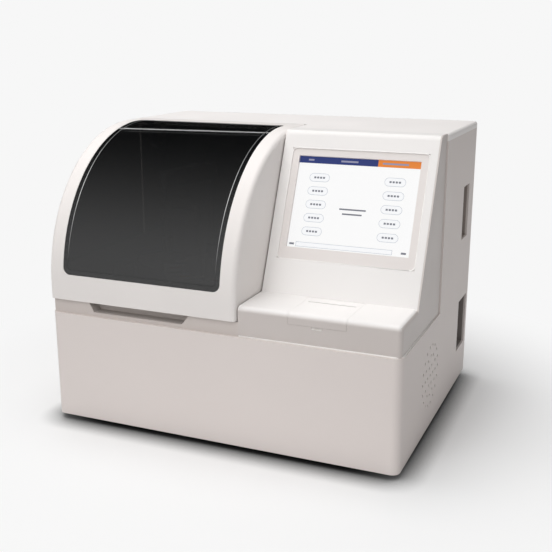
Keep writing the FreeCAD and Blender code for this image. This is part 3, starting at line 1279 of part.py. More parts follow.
socket_sizes = {
    "flange_border": 6, "flange_thick": 2, "inlet_depth": 16, "inlet_wall": 2, "inlet_pin_width": 2,
    "inlet_pin_height": 4, "inlet_pin_length": 11, "inlet_pin_spread": 7, "rocker_depth": 9,
    "rocker_proud": 2, "rocker_play": 0.8, "rocker_axle": 1.5, "port_bore": 2, "port_inner": 14,
    "port_proud": 7, "port_nut": 7, "port_nut_thick": 3, "nut_sides": 6,
    "socket_width": 39, "socket_height": 12.5, "socket_depth": 8, "socket_shift": 22,
    "jack_width": 16, "jack_height": 13.5, "jack_depth": 12, "jack_shift": 20, "jack_drop": 26,
}
driving(socket_sizes)
derive({
    "bay_inner": "inner_right - bay_depth", "grip_inner": "inner_right - grip_depth",
    "bay_middle": "(bay_start + bay_end) / 2", "bay_level": "(bay_bottom + bay_top) / 2",
})


def make_inlet():
    half = "inlet_width / 2"
    flange = block("InletFlange", ("inlet_middle - %s - flange_border" % half,
                                   "inlet_middle + %s + flange_border" % half),
                   ("panel_outer", "panel_outer + flange_thick"),
                   ("inlet_base - flange_border / 2", "rocker_level + rocker_height / 2 + flange_border / 2"))
    shell = block("InletShell", ("inlet_middle - %s + fit" % half, "inlet_middle + %s - fit" % half),
                  ("panel_outer - inlet_depth", "panel_outer"),
                  ("inlet_base + fit", "inlet_base + inlet_height - fit"))
    well = block("InletWell", ("inlet_middle - %s + inlet_wall" % half,
                               "inlet_middle + %s - inlet_wall" % half),
                 ("panel_outer - inlet_depth + inlet_wall", "panel_outer + flange_thick + overrun"),
                 ("inlet_base + inlet_wall", "inlet_base + inlet_height - inlet_wall"))
    window = block("RockerWindow", ("inlet_middle - rocker_width / 2", "inlet_middle + rocker_width / 2"),
                   ("panel_outer - overrun", "panel_outer + flange_thick + overrun"),
                   ("rocker_level - rocker_height / 2", "rocker_level + rocker_height / 2"))
    pin = block("InletPin", ("inlet_middle - inlet_pin_width / 2", "inlet_middle + inlet_pin_width / 2"),
                ("panel_outer - inlet_depth + inlet_wall",
                 "panel_outer - inlet_depth + inlet_wall + inlet_pin_length"),
                ("inlet_level", "inlet_level + inlet_pin_height"))
    pins = copies(pin, [("-inlet_pin_spread", "0", "-inlet_pin_height"),
                        ("inlet_pin_spread", "0", "-inlet_pin_height")])
    axle = rod("RockerAxle", "x", ("inlet_middle - rocker_width / 2", "panel_outer", "rocker_level"),
               "rocker_axle", "rocker_width")
    shellwork = cut("InletBody", fuse("InletSolid", flange, shell), well, window)
    node("power_inlet", fuse("Inlet", shellwork, axle, *pins))
    rocker = extrude("RockerBody", "YZ_Plane", [
        ("panel_outer - rocker_depth", "rocker_level - rocker_height / 2 + 2 * rocker_play"),
        ("panel_outer + rocker_proud", "rocker_level - rocker_height / 2 + rocker_play"),
        ("panel_outer + rocker_proud / 2", "rocker_level"),
        ("panel_outer + rocker_proud", "rocker_level + rocker_height / 2 - rocker_play"),
        ("panel_outer - rocker_depth", "rocker_level + rocker_height / 2 - 2 * rocker_play"),
    ], "inlet_middle - rocker_width / 2 + rocker_play", "inlet_middle + rocker_width / 2 - rocker_play")
    eye = rod("RockerEye", "x", ("inlet_middle - rocker_width / 2", "panel_outer", "rocker_level"),
              "rocker_axle + shaft_play", "rocker_width")
    node("power_rocker", cut("Rocker", rocker, eye))


def make_ports():
    barb = rod("PortBarb", "y", ("port_first", "panel_inner - port_inner", "port_base"),
               "port_radius - shaft_play", "port_inner + plate_wall + port_proud")
    nut = prism("PortNut", "y", ("port_first", "panel_outer", "port_base"), "port_nut", "port_nut_thick",
                "nut_sides")
    bore = prism("PortBore", "y", ("port_first", "panel_inner - port_inner - overrun", "port_base"),
                 "port_bore", "port_inner + plate_wall + port_proud + 2 * overrun", "nut_sides")
    port = cut("Port", fuse("PortSolid", barb, nut), bore)
    node("fluid_ports", group("Ports", *copies(port, [("%d * port_pitch" % step, "0", "0")
                                                      for step in (1, 2)])))


def bay(name, inner, start, end, bottom, top):
    """An open box behind a hole in the right side."""
    outer = block(name + "Outer", (inner, "inner_right"),
                  ("%s - plate_wall" % start, "%s + plate_wall" % end),
                  ("%s - plate_wall" % bottom, "%s + plate_wall" % top))
    hollow = block(name + "Hollow", ("%s + plate_wall" % inner, "inner_right + overrun"),
                   (start, end), (bottom, top))
    return cut(name, outer, hollow)


def socket(name, y, z, half_width, half_height, depth):
    """A hollow connector shell on the back of the interface bay."""
    face = "bay_inner + plate_wall"

    def box(part, inset, start, end):
        return block(name + part, (start, end),
                     ("%s - %s + %s" % (y, half_width, inset), "%s + %s - %s" % (y, half_width, inset)),
                     ("%s - %s + %s" % (z, half_height, inset), "%s + %s - %s" % (z, half_height, inset)))
    shell = box("Shell", "0", face, "%s + %s" % (face, depth))
    hollow = box("Hollow", "inlet_wall", face + " + inlet_wall", "%s + %s + overrun" % (face, depth))
    return cut(name, shell, hollow)


def make_bays():
    node("grip_pocket", bay("GripPocket", "grip_inner", "grip_start", "grip_end", "grip_bottom", "grip_top"))
    node("interface_bay", bay("InterfaceBay", "bay_inner", "bay_start", "bay_end", "bay_bottom", "bay_top"))
    wide = socket("WideSocket", "bay_middle", "bay_level + socket_shift", "socket_width / 2",
                  "socket_height / 2", "socket_depth")
    jack = socket("Jack", "bay_middle - jack_shift / 2", "bay_level - jack_drop", "jack_width / 2",
                  "jack_height / 2", "jack_depth")
    node("interface_ports", group("InterfacePorts", wide, *copies(jack, [("0", "jack_shift", "0")])))


# Power supply and main board on the chassis

board_sizes = {
    "supply_left": 435, "supply_width": 120, "supply_inset": 50, "supply_length": 150,
    "supply_height": 58, "fin_height": 10, "fin_thick": 4, "fin_pitch": 12, "fin_count": 9,
    "board_left": 225, "board_width": 180, "board_inset": 50, "board_length": 150, "board_thick": 1.6,
    "board_rise": 10, "spacer_radius": 4, "spacer_inset": 8, "chip_side": 35, "chip_height": 4,
    "header_length": 60, "header_width": 9, "header_height": 12,
}
driving(board_sizes)
derive({
    "supply_start": "left + supply_left", "supply_front": "back - supply_inset - supply_length",
    "board_start": "left + board_left", "board_front": "back - board_inset - board_length",
    "board_low": "chassis_top + board_rise", "board_top": "board_low + board_thick",
})


def make_supply():
    case = block("SupplyCase", ("supply_start", "supply_start + supply_width"),
                 ("supply_front", "supply_front + supply_length"),
                 ("chassis_top", "chassis_top + supply_height"))
    fin = block("SupplyFin", ("supply_start + fin_thick", "supply_start + 2 * fin_thick"),
                ("supply_front + fin_pitch", "supply_front + supply_length - fin_pitch"),
                ("chassis_top + supply_height", "chassis_top + supply_height + fin_height"))
    fins = copies(fin, [("%d * fin_pitch" % step, "0", "0") for step in range(1, int(value("fin_count")))])
    node("power_supply", fuse("Supply", case, *fins))


def make_board():
    board = block("Board", ("board_start", "board_start + board_width"),
                  ("board_front", "board_front + board_length"), ("board_low", "board_top"))
    spacer = prism("Spacer", "z", ("board_start + spacer_inset", "board_front + spacer_inset", "chassis_top"),
                   "spacer_radius", "board_rise", "nut_sides")
    across = "board_width - 2 * spacer_inset"
    deep = "board_length - 2 * spacer_inset"
    spacers = copies(spacer, [(across, "0", "0"), ("0", deep, "0"), (across, deep, "0")])
    chip = block("Chip", ("board_start + board_width / 2 - chip_side / 2",
                          "board_start + board_width / 2 + chip_side / 2"),
                 ("board_front + board_length / 2 - chip_side / 2",
                  "board_front + board_length / 2 + chip_side / 2"), ("board_top", "board_top + chip_height"))
    header = block("Header", ("board_start + 2 * spacer_inset",
                              "board_start + 2 * spacer_inset + header_length"),
                   ("board_front + spacer_inset", "board_front + spacer_inset + header_width"),
                   ("board_top", "board_top + header_height"))
    headers = copies(header, [("header_length + spacer_inset", "0", "0")])
    node("main_board", fuse("MainBoard", board, chip, *spacers, *headers))


make_flap()
make_bucket()
make_fan()
make_inlet()
make_ports()
make_bays()
make_supply()
make_board()


# Checks and files

doc.recompute()
for item in doc.Objects:
    if "Invalid" in item.State or "Error" in item.State:
        raise RuntimeError("%s could not be built: %s" % (item.Label, item.State))
for label, item in nodes.items():
    if item.Shape.isNull() or not item.Shape.isValid():
        raise RuntimeError("%s has no valid shape" % label)
os.makedirs("parts", exist_ok=True)
for label, item in nodes.items():
    item.Shape.exportStep("parts/%s.step" % label)
print("%d sub-parts written" % len(nodes))
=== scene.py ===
import bpy
import json
import math
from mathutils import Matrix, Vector


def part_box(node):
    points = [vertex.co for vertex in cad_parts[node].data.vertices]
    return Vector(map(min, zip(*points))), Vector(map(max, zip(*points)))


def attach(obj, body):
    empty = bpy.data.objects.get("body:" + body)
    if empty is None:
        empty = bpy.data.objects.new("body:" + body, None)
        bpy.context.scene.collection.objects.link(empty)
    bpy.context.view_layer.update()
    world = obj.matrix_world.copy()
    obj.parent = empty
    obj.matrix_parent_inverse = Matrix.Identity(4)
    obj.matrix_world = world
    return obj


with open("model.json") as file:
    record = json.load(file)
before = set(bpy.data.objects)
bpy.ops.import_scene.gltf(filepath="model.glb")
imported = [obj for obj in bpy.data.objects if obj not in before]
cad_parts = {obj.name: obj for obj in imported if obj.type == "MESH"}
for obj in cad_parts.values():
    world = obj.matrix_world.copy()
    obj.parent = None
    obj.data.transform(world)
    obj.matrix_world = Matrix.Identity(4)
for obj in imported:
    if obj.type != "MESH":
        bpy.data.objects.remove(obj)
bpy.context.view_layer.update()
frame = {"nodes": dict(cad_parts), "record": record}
nodes = frame["nodes"]
mm = 0.001
print("frame loaded")


# camera, at the photograph's angle

camera = {"place": (0.61926, -1.45398, 0.66276), "turn": 22.87, "dip": 15.154, "lens": 57.43, "sensor": 36,
          "near": 0.01}


def makeCamera():
    data = bpy.data.cameras.new("camera")
    data.lens = camera["lens"]
    data.sensor_width = camera["sensor"]
    data.clip_start = camera["near"]
    obj = bpy.data.objects.new("camera", data)
    bpy.context.collection.objects.link(obj)
    obj.location = camera["place"]
    obj.rotation_euler = (math.radians(90 - camera["dip"]), 0, math.radians(camera["turn"]))
    bpy.context.scene.camera = obj


# small shader steps that the studio and the finishes share

def feed(tree, value, socket):
    # a node's output is linked, and anything else is set on the socket itself
    if isinstance(value, bpy.types.NodeSocket):
        tree.links.new(value, socket)
    else:
        socket.default_value = value


def maths(tree, operation, first, second):
    item = tree.nodes.new("ShaderNodeMath")
    item.operation = operation
    feed(tree, first, item.inputs[0])
    feed(tree, second, item.inputs[1])
    return item.outputs["Value"]


def mapRange(tree, value, start, end, least=0.0, most=1.0, smooth=False):
    # start to end becomes least to most
    item = tree.nodes.new("ShaderNodeMapRange")
    if smooth:
        item.interpolation_type = "SMOOTHSTEP"
    item.inputs["From Min"].default_value = start
    item.inputs["From Max"].default_value = end
    item.inputs["To Min"].default_value = least
    item.inputs["To Max"].default_value = most
    tree.links.new(value, item.inputs["Value"])
    return item.outputs["Result"]


def mixedColour(tree, factor, first, second):
    item = tree.nodes.new("ShaderNodeMix")
    item.data_type = "RGBA"
    colourA, colourB, colourOut = 6, 7, 2  # the node's colour sockets
    tree.links.new(factor, item.inputs["Factor"])
    feed(tree, first, item.inputs[colourA])
    feed(tree, second, item.inputs[colourB])
    return item.outputs[colourOut]


def mixedShader(tree, factor, first, second):
    item = tree.nodes.new("ShaderNodeMixShader")
    tree.links.new(factor, item.inputs["Fac"])
    tree.links.new(first, item.inputs[1])
    tree.links.new(second, item.inputs[2])
    return item.outputs["Shader"]


def axesOf(tree, vector):
    item = tree.nodes.new("ShaderNodeSeparateXYZ")
    tree.links.new(vector, item.inputs["Vector"])
    return item.outputs


# room

room = {"white": 0.93, "ambient": 0.4, "gloss": 1.15, "softness": 3.0}


def makeWorld():
    # gloss sees a room that is light in front and dark behind the analyzer
    world = bpy.data.worlds.new("studio")
    bpy.context.scene.world = world
    world.use_nodes = True
    tree = world.node_tree
    tree.nodes.clear()

    def background(strength):
        item = tree.nodes.new("ShaderNodeBackground")
        item.inputs["Color"].default_value = (1, 1, 1, 1)
        item.inputs["Strength"].default_value = strength
        return item.outputs["Background"]

    direction = tree.nodes.new("ShaderNodeTexCoord").outputs["Generated"]
    forward = mapRange(tree, axesOf(tree, direction)["Y"], 1.0, -1.0)
    curve = maths(tree, "POWER", forward, room["softness"])
    glossy = mixedShader(tree, curve, background(0.0), background(room["gloss"]))
    ray = tree.nodes.new("ShaderNodeLightPath").outputs
    lit = mixedShader(tree, ray["Is Glossy Ray"], background(room["ambient"]), glossy)
    backdrop = background(room["white"])
    through = mixedShader(tree, ray["Is Transmission Ray"], lit, backdrop)
    seen = mixedShader(tree, ray["Is Camera Ray"], through, backdrop)
    tree.links.new(seen, tree.nodes.new("ShaderNodeOutputWorld").inputs["Surface"])


# lamps: place, width in metres and power in watts; none shows in gloss but the streak

lamps = {"keyLight": ((0.0, -1.8, 2.3), 1.6, 20.5),
         "topLight": ((-0.5, 0.0, 2.6), 2.0, 34),
         "fillLight": ((-0.3, -2.6, 0.9), 1.8, 9)}
lampAim = (0, 0, 0.25)
streak = {"place": (-1.0, 1.52, 1.5), "aim": (-0.15, -0.06, 0.5), "long": 1.0, "thin": 0.06, "power": 0.55}


def newLamp(name, shape, width, power, place, aim):
    data = bpy.data.lights.new(name, "AREA")
    data.shape = shape
    data.size = width
    data.energy = power
    obj = bpy.data.objects.new(name, data)
    bpy.context.collection.objects.link(obj)
    obj.location = place
    obj.rotation_euler = (Vector(aim) - Vector(place)).to_track_quat("-Z", "Y").to_euler()
    return obj


def makeLamps():
    # the streak is a narrow lamp that only gloss sees; its reflection lies along the top of the pane
    obj = newLamp("streakLight", "RECTANGLE", streak["long"], streak["power"], streak["place"], streak["aim"])
    obj.data.size_y = streak["thin"]
    obj.visible_diffuse = False
    obj.visible_transmission = False
    obj.visible_camera = False
    for name, (place, width, power) in lamps.items():
        newLamp(name, "DISK", width, power, place, lampAim).visible_glossy = False


# floor

floorPaper = {"reach": 6.0, "tone": 0.86, "rough": 0.9, "specular": 0.1,
              "fadeStart": 0.32, "fadeEnd": 0.78, "farGlow": 0.5,
              "contactReach": 0.045, "contactDepth": 2.2, "paintedShadowTone": 0.02, "contactSamples": 8}


def grey(tone):
    return (tone, tone, tone, 1)


def paperFinish():
    mat = bpy.data.materials.new("floorPaper")
    mat.use_nodes = True
    tree = mat.node_tree
    bsdf = tree.nodes["Principled BSDF"]
    bsdf.inputs["Roughness"].default_value = floorPaper["rough"]
    bsdf.inputs["Specular IOR Level"].default_value = floorPaper["specular"]
    # painted contact shadow: the paper's colour darkens where the casing stands close over it
    contact = tree.nodes.new("ShaderNodeAmbientOcclusion")
    contact.samples = floorPaper["contactSamples"]
    contact.inputs["Distance"].default_value = floorPaper["contactReach"]
    paintedContactShadow = maths(tree, "POWER", contact.outputs["AO"], floorPaper["contactDepth"])
    tones = mixedColour(tree, paintedContactShadow, grey(floorPaper["paintedShadowTone"]), grey(floorPaper["tone"]))
    tree.links.new(tones, bsdf.inputs["Base Color"])
    # far from the analyzer it turns into the white backdrop
    ray = tree.nodes.new("ShaderNodeLightPath").outputs
    through = maths(tree, "MAXIMUM", ray["Is Glossy Ray"], ray["Is Transmission Ray"])
    seen = maths(tree, "MAXIMUM", ray["Is Camera Ray"], through)
    far = tree.nodes.new("ShaderNodeEmission")
    far.inputs["Color"].default_value = (1, 1, 1, 1)
    tree.links.new(mapRange(tree, seen, 0, 1, floorPaper["farGlow"], room["white"]), far.inputs["Strength"])
    distance = tree.nodes.new("ShaderNodeVectorMath")
    distance.operation = "LENGTH"
    tree.links.new(tree.nodes.new("ShaderNodeTexCoord").outputs["Object"], distance.inputs[0])
    fade = mapRange(tree, distance.outputs["Value"], floorPaper["fadeStart"], floorPaper["fadeEnd"], smooth=True)
    tree.links.new(mixedShader(tree, fade, bsdf.outputs["BSDF"], far.outputs["Emission"]),
                   tree.nodes["Material Output"].inputs["Surface"])
    return mat


def makeFloor():
    reach = floorPaper["reach"]
    mesh = bpy.data.meshes.new("floor")
    mesh.from_pydata([(-reach, -reach, 0), (reach, -reach, 0), (reach, reach, 0), (-reach, reach, 0)],
                     [], [(0, 1, 2, 3)])
    mesh.materials.append(paperFinish())
    obj = bpy.data.objects.new("floor", mesh)
    bpy.context.collection.objects.link(obj)


bpy.context.scene.view_settings.view_transform = "Standard"
makeCamera()
makeWorld()
makeLamps()
makeFloor()
print("studio ready")


# finishes

def srgb(*values):
    # screen values 0 to 255 as the linear colour that Blender takes
    toe, slope, offset, power = 10, 12.92, 0.055, 2.4
    return tuple(v / 255 / slope if v <= toe else ((v / 255 + offset) / (1 + offset)) ** power for v in values) + (1,)


def newFinish(name, colour, rough, metal=0.0, specular=0.5):
    mat = bpy.data.materials.new(name)
    mat.use_nodes = True
    bsdf = mat.node_tree.nodes["Principled BSDF"]
    bsdf.inputs["Base Color"].default_value = colour
    bsdf.inputs["Roughness"].default_value = rough
    bsdf.inputs["Metallic"].default_value = metal
    bsdf.inputs["Specular IOR Level"].default_value = specular
    return mat, mat.node_tree, bsdf


def objectPlace(tree, stretch=(1, 1, 1)):
    place = tree.nodes.new("ShaderNodeTexCoord")
    mapping = tree.nodes.new("ShaderNodeMapping")
    mapping.inputs["Scale"].default_value = stretch
    tree.links.new(place.outputs["Object"], mapping.inputs["Vector"])
    return mapping.outputs["Vector"]


def noise(tree, vector, scale, detail=3.0):
    item = tree.nodes.new("ShaderNodeTexNoise")
    item.inputs["Scale"].default_value = scale
    item.inputs["Detail"].default_value = detail
    tree.links.new(vector, item.inputs["Vector"])
    return item.outputs["Fac"]


def cells(tree, vector, scale, smooth=False):
    item = tree.nodes.new("ShaderNodeTexVoronoi")
    if smooth:
        item.feature = "SMOOTH_F1"
    item.inputs["Scale"].default_value = scale
    tree.links.new(vector, item.inputs["Vector"])
    return item.outputs


def ramp(tree, factor, stops):
    item = tree.nodes.new("ShaderNodeValToRGB")
    while len(item.color_ramp.elements) < len(stops):
        item.color_ramp.elements.new(0.5)
    for element, (place, colour) in zip(item.color_ramp.elements, stops):
        element.position = place
        element.color = colour
    tree.links.new(factor, item.inputs["Fac"])
    return item.outputs["Color"]


def bump(tree, bsdf, height, strength, distance):
    item = tree.nodes.new("ShaderNodeBump")
    item.inputs["Strength"].default_value = strength
    item.inputs["Distance"].default_value = distance
    tree.links.new(height, item.inputs["Height"])
    tree.links.new(item.outputs["Normal"], bsdf.inputs["Normal"])


def shade(colour, amount):
    return tuple(min(c * amount, 1) for c in colour[:3]) + (1,)


def clouded(tree, vector, colour, scale, spread):
    # soft patches a little darker and lighter than the colour
    stops = [(0.3, shade(colour, 1 - spread)), (0.7, shade(colour, 1 + spread))]
    return ramp(tree, noise(tree, vector, scale, 4), stops)


def tinted(tree, bsdf, vector, colour, scale, spread):
    tree.links.new(clouded(tree, vector, colour, scale, spread), bsdf.inputs["Base Color"])


def roughened(tree, bsdf, vector, scale, least, most):
    tree.links.new(mapRange(tree, noise(tree, vector, scale, 5), 0, 1, least, most), bsdf.inputs["Roughness"])


# in each recipe the patch, sheen and grain scales are repeats per metre, and a bump is (strength, metres)

moulding = {"specular": 0.4, "patch": 9, "spread": 0.012, "sheen": 14, "smoother": 0.05, "rougher": 0.07,
            "grain": 900, "bump": (0.12, 0.0003)}


def mouldedPlastic(name, colour, rough=0.45):
    mat, tree, bsdf = newFinish(name, colour, rough, specular=moulding["specular"])
    vector = objectPlace(tree)
    tinted(tree, bsdf, vector, colour, moulding["patch"], moulding["spread"])
    roughened(tree, bsdf, vector, moulding["sheen"], rough - moulding["smoother"], rough + moulding["rougher"])
    bump(tree, bsdf, noise(tree, vector, moulding["grain"], 2), *moulding["bump"])
    return mat


powder = {"specular": 0.45, "patch": 5, "spread": 0.012, "sheen": 11, "swing": 0.06, "grain": 620,
          "bump": (0.18, 0.0003)}


def powderCoat(name, colour, rough=0.5):
    mat, tree, bsdf = newFinish(name, colour, rough, specular=powder["specular"])
    vector = objectPlace(tree)
    tinted(tree, bsdf, vector, colour, powder["patch"], powder["spread"])
    roughened(tree, bsdf, vector, powder["sheen"], rough - powder["swing"], rough + powder["swing"])
    bump(tree, bsdf, cells(tree, vector, powder["grain"], smooth=True)["Distance"], *powder["bump"])
    return mat


brushing = {"streak": 6, "dark": (0.25, 0.86), "light": (0.75, 1.08), "sheen": 5, "smoother": 0.08, "rougher": 0.12,
            "bump": (0.08, 0.0002)}


def brushedMetal(name, colour, rough=0.32, stretch=(4, 260, 4)):
    mat, tree, bsdf = newFinish(name, colour, rough, metal=1.0)
    vector = objectPlace(tree, stretch)
    streaks = noise(tree, vector, brushing["streak"], 6)
    stops = [(place, shade(colour, amount)) for place, amount in (brushing["dark"], brushing["light"])]
    tree.links.new(ramp(tree, streaks, stops), bsdf.inputs["Base Color"])
    roughened(tree, bsdf, vector, brushing["sheen"], rough - brushing["smoother"], rough + brushing["rougher"])
    bump(tree, bsdf, streaks, *brushing["bump"])
    return mat


zinc = {"rough": 0.38, "metal": 0.85, "spangle": 60, "dark": (0.1, 0.85), "light": (0.9, 1.1), "sheen": 40,
        "smooth": 0.3, "dull": 0.5}


def zincPlate(name, colour):
    mat, tree, bsdf = newFinish(name, colour, zinc["rough"], metal=zinc["metal"])
    vector = objectPlace(tree)
    stops = [(place, shade(colour, amount)) for place, amount in (zinc["dark"], zinc["light"])]
    tree.links.new(ramp(tree, cells(tree, vector, zinc["spangle"])["Color"], stops), bsdf.inputs["Base Color"])
    roughened(tree, bsdf, vector, zinc["sheen"], zinc["smooth"], zinc["dull"])
    return mat


rubber = {"rough": 0.75, "specular": 0.3, "patch": 30, "spread": 0.15, "grain": 700, "bump": (0.25, 0.0003)}


def softRubber(name, colour):
    mat, tree, bsdf = newFinish(name, colour, rubber["rough"], specular=rubber["specular"])
    vector = objectPlace(tree)
    tinted(tree, bsdf, vector, colour, rubber["patch"], rubber["spread"])
    bump(tree, bsdf, noise(tree, vector, rubber["grain"]), *rubber["bump"])
    return mat


clear = {"patch": 20, "spread": 0.03, "sheen": 25, "smoother": 0.04, "rougher": 0.05, "smoothest": 0.02}


def clearPlastic(name, colour, alpha, rough=0.12):
    mat, tree, bsdf = newFinish(name, colour, rough)
    vector = objectPlace(tree)
    tinted(tree, bsdf, vector, colour, clear["patch"], clear["spread"])
    bsdf.inputs["Alpha"].default_value = alpha
    roughened(tree, bsdf, vector, clear["sheen"], max(rough - clear["smoother"], clear["smoothest"]),
              rough + clear["rougher"])
    return mat


smoke = {"rough": 0.05, "bend": 1.75, "alpha": 0.77, "patch": 16, "spread": 0.05, "sheen": 20, "smooth": 0.03,
         "dull": 0.07, "ripple": 7, "bump": (0.05, 0.001)}


def smokedPane(name, colour):
    mat, tree, bsdf = newFinish(name, colour, smoke["rough"])
    bsdf.inputs["IOR"].default_value = smoke["bend"]
    vector = objectPlace(tree)
    tinted(tree, bsdf, vector, colour, smoke["patch"], smoke["spread"])
    bsdf.inputs["Alpha"].default_value = smoke["alpha"]
    roughened(tree, bsdf, vector, smoke["sheen"], smoke["smooth"], smoke["dull"])
    bump(tree, bsdf, noise(tree, vector, smoke["ripple"], 1), *smoke["bump"])
    return mat


board = {"rough": 0.35, "tracks": 120, "dark": 0.8, "copper": 1.8, "gap": 0.012}


def circuitBoard(name, colour):
    mat, tree, bsdf = newFinish(name, colour, board["rough"])
    bricks = tree.nodes.new("ShaderNodeTexBrick")
    bricks.inputs["Scale"].default_value = board["tracks"]
    bricks.inputs["Color1"].default_value = colour
    bricks.inputs["Color2"].default_value = shade(colour, board["dark"])
    bricks.inputs["Mortar"].default_value = shade(colour, board["copper"])
    bricks.inputs["Mortar Size"].default_value = board["gap"]
    tree.links.new(objectPlace(tree), bricks.inputs["Vector"])
    tree.links.new(bricks.outputs["Color"], bsdf.inputs["Base Color"])
    return mat


wound = {"rough": 0.8, "specular": 0.2, "patch": 60, "spread": 0.03, "turns": (1, 60, 60), "edge": 60,
         "bump": (0.3, 0.0004)}


def woundPaper(name, colour):
    mat, tree, bsdf = newFinish(name, colour, wound["rough"], specular=wound["specular"])
    tinted(tree, bsdf, objectPlace(tree), colour, wound["patch"], wound["spread"])
    bump(tree, bsdf, noise(tree, objectPlace(tree, wound["turns"]), wound["edge"], 2), *wound["bump"])
    return mat


# one finish for each material slot of the record
finish = {
    "painted_casing": powderCoat("casingPaint", srgb(223, 214, 210)),
    "white_cover": mouldedPlastic("coverPlastic", srgb(233, 228, 225)),
    "zinc_plate": zincPlate("zincSheet", srgb(176, 180, 184)),
    "rubber_feet": softRubber("footRubber", srgb(34, 34, 35)),
    "bezel_grey": mouldedPlastic("bezelPlastic", srgb(227, 221, 218), 0.5),
    "screen_glass": clearPlastic("screenGlass", srgb(225, 230, 236), 0.12, 0.08),
    "dark_plastic": mouldedPlastic("darkPlastic", srgb(42, 42, 44), 0.5),
    "smoked_window": smokedPane("smokedPane", srgb(9, 10, 11)),
    "bright_steel": brushedMetal("groundSteel", srgb(205, 205, 208)),
    "sill_grey": mouldedPlastic("sillPlastic", srgb(205, 196, 191), 0.5),
    "liner_white": mouldedPlastic("linerPlastic", srgb(214, 212, 208), 0.45),
    "deck_steel": powderCoat("deckPaint", srgb(168, 170, 172), 0.4),
    "disk_dark": mouldedPlastic("diskPlastic", srgb(38, 40, 46), 0.4),
    "bottle_plastic": mouldedPlastic("bottlePlastic", srgb(206, 202, 190), 0.35),
    "tube_plastic": clearPlastic("tubePlastic", srgb(220, 226, 230), 0.26, 0.12),
    "alloy": brushedMetal("machinedAlloy", srgb(196, 198, 202), 0.36),
    "gear_plastic": mouldedPlastic("gearPlastic", srgb(226, 222, 208), 0.4),
    "brass_gear": brushedMetal("cutBrass", srgb(190, 150, 84), 0.3),
    "motor_black": powderCoat("blackCoat", srgb(44, 44, 46), 0.45),
    "paper_white": woundPaper("receiptPaper", srgb(240, 240, 236)),
    "board_green": circuitBoard("boardLaminate", srgb(24, 92, 58)),
}


# the console's slope takes a lighter copy of the cover white as painted light, and its front edge and right side are
# greyer with painted shade; the places are in metres
console = {"paintedShelfShade": srgb(204, 196, 192), "slope": srgb(236, 233, 231), "frontBack": -0.2425, "sideOut": 0.311,
           "shelfTop": 0.2495, "soft": 0.009, "sideSoft": 0.00225, "rough": 0.42, "smooth": 0.37, "dull": 0.5}


def consolePaintedShadePlastic():
    mat, tree, bsdf = newFinish("consolePaintedShadePlastic", console["slope"], console["rough"], specular=moulding["specular"])
    vector = objectPlace(tree)
    axes = axesOf(tree, vector)
    soft = console["soft"]
    front = mapRange(tree, axes["Y"], console["frontBack"] + soft, console["frontBack"], smooth=True)
    below = mapRange(tree, axes["Z"], console["shelfTop"], console["shelfTop"] - soft, smooth=True)
    beside = mapRange(tree, axes["X"], console["sideOut"] - console["sideSoft"], console["sideOut"], smooth=True)
    # painted shade on the front edge below the shelf's top and on the right side
    edge = maths(tree, "MAXIMUM", maths(tree, "MULTIPLY", front, below), beside)
    slopeShade, shelfPaintedShade = [clouded(tree, vector, console[part], moulding["patch"], moulding["spread"])
                              for part in ("slope", "paintedShelfShade")]
    tree.links.new(mixedColour(tree, edge, slopeShade, shelfPaintedShade), bsdf.inputs["Base Color"])
    roughened(tree, bsdf, vector, moulding["sheen"], console["smooth"], console["dull"])
    bump(tree, bsdf, noise(tree, vector, moulding["grain"], 2), *moulding["bump"])
    return mat


# nodes whose finish differs from their slot's
ownFinish = {
    "console_cover": consolePaintedShadePlastic(),
    "printer_flap": consolePaintedShadePlastic(),
    # the roof takes a lighter copy of the cover white: painted light on the top
    "roof_cover": mouldedPlastic("roofPaintedLightPlastic", srgb(243, 239, 237)),
    "fluid_ports": brushedMetal("portBrass", srgb(188, 152, 94), 0.3),
    # the interface bay and the grip pocket take darker copies of the casing colour: painted shade in the recesses
    "interface_bay": mouldedPlastic("bayShadedPlastic", srgb(138, 131, 127), 0.55),
    "grip_pocket": mouldedPlastic("gripShadedPlastic", srgb(166, 156, 150), 0.5),
}


def dressNodes():
    for entry in frame["record"]["subparts"]:
        obj = nodes[entry["node"]]
        obj.data.materials.clear()
        obj.data.materials.append(ownFinish.get(entry["node"], finish[entry["material_slot"]]))


dressNodes()
print("finishes ready")


# screen picture

slope = {"footBack": -0.149, "footUp": 0.25, "tilt": math.radians(67), "faceOut": -0.00585}
screen = {"left": 73 * mm, "rise": 80.5 * mm, "width": 211.2 * mm, "height": 158.4 * mm, "layer": 0.05 * mm}
picture = {
    "barHeight": 11.5 * mm, "barSplit": 0.655, "buttonWidth": 36 * mm, "buttonHeight": 14.5 * mm,
    "buttonInset": 22 * mm, "buttonPitch": 23.2 * mm, "buttonFirst": 22.5 * mm, "buttons": 5,
    "rim": 0.6 * mm, "statusHeight": 8 * mm, "statusLeft": 15 * mm, "statusRight": 182 * mm, "statusRise": 2.5 * mm,
    "dashCount": 4, "dashPitch": 5.2 * mm, "dashLength": 3.6 * mm, "dashHeight": 3.2 * mm,
    "notes": ((46 * mm, 70 * mm), (34 * mm, 62 * mm)), "noteHeight": 2.56 * mm,
    "marks": (3.6 * mm, 196.8 * mm), "markRise": 4.9 * mm, "markLength": 8.4 * mm,
    "titles": ((16 * mm, 26 * mm), (74 * mm, 104 * mm), (146 * mm, 190 * mm)), "titleHeight": 3 * mm}
lit = {"glow": 0.8, "rough": 0.12, "specular": 0.4, "rows": 4200, "rowShade": 0.93, "offShade": 0.18}


def onSlope(x, rise, out):
    # a place on the screen's slope: rise is measured up the slope from its foot, and out is square to it
    return Vector((x, slope["footBack"] + rise * math.cos(slope["tilt"]) - out * math.sin(slope["tilt"]),
                   slope["footUp"] + rise * math.sin(slope["tilt"]) + out * math.cos(slope["tilt"])))


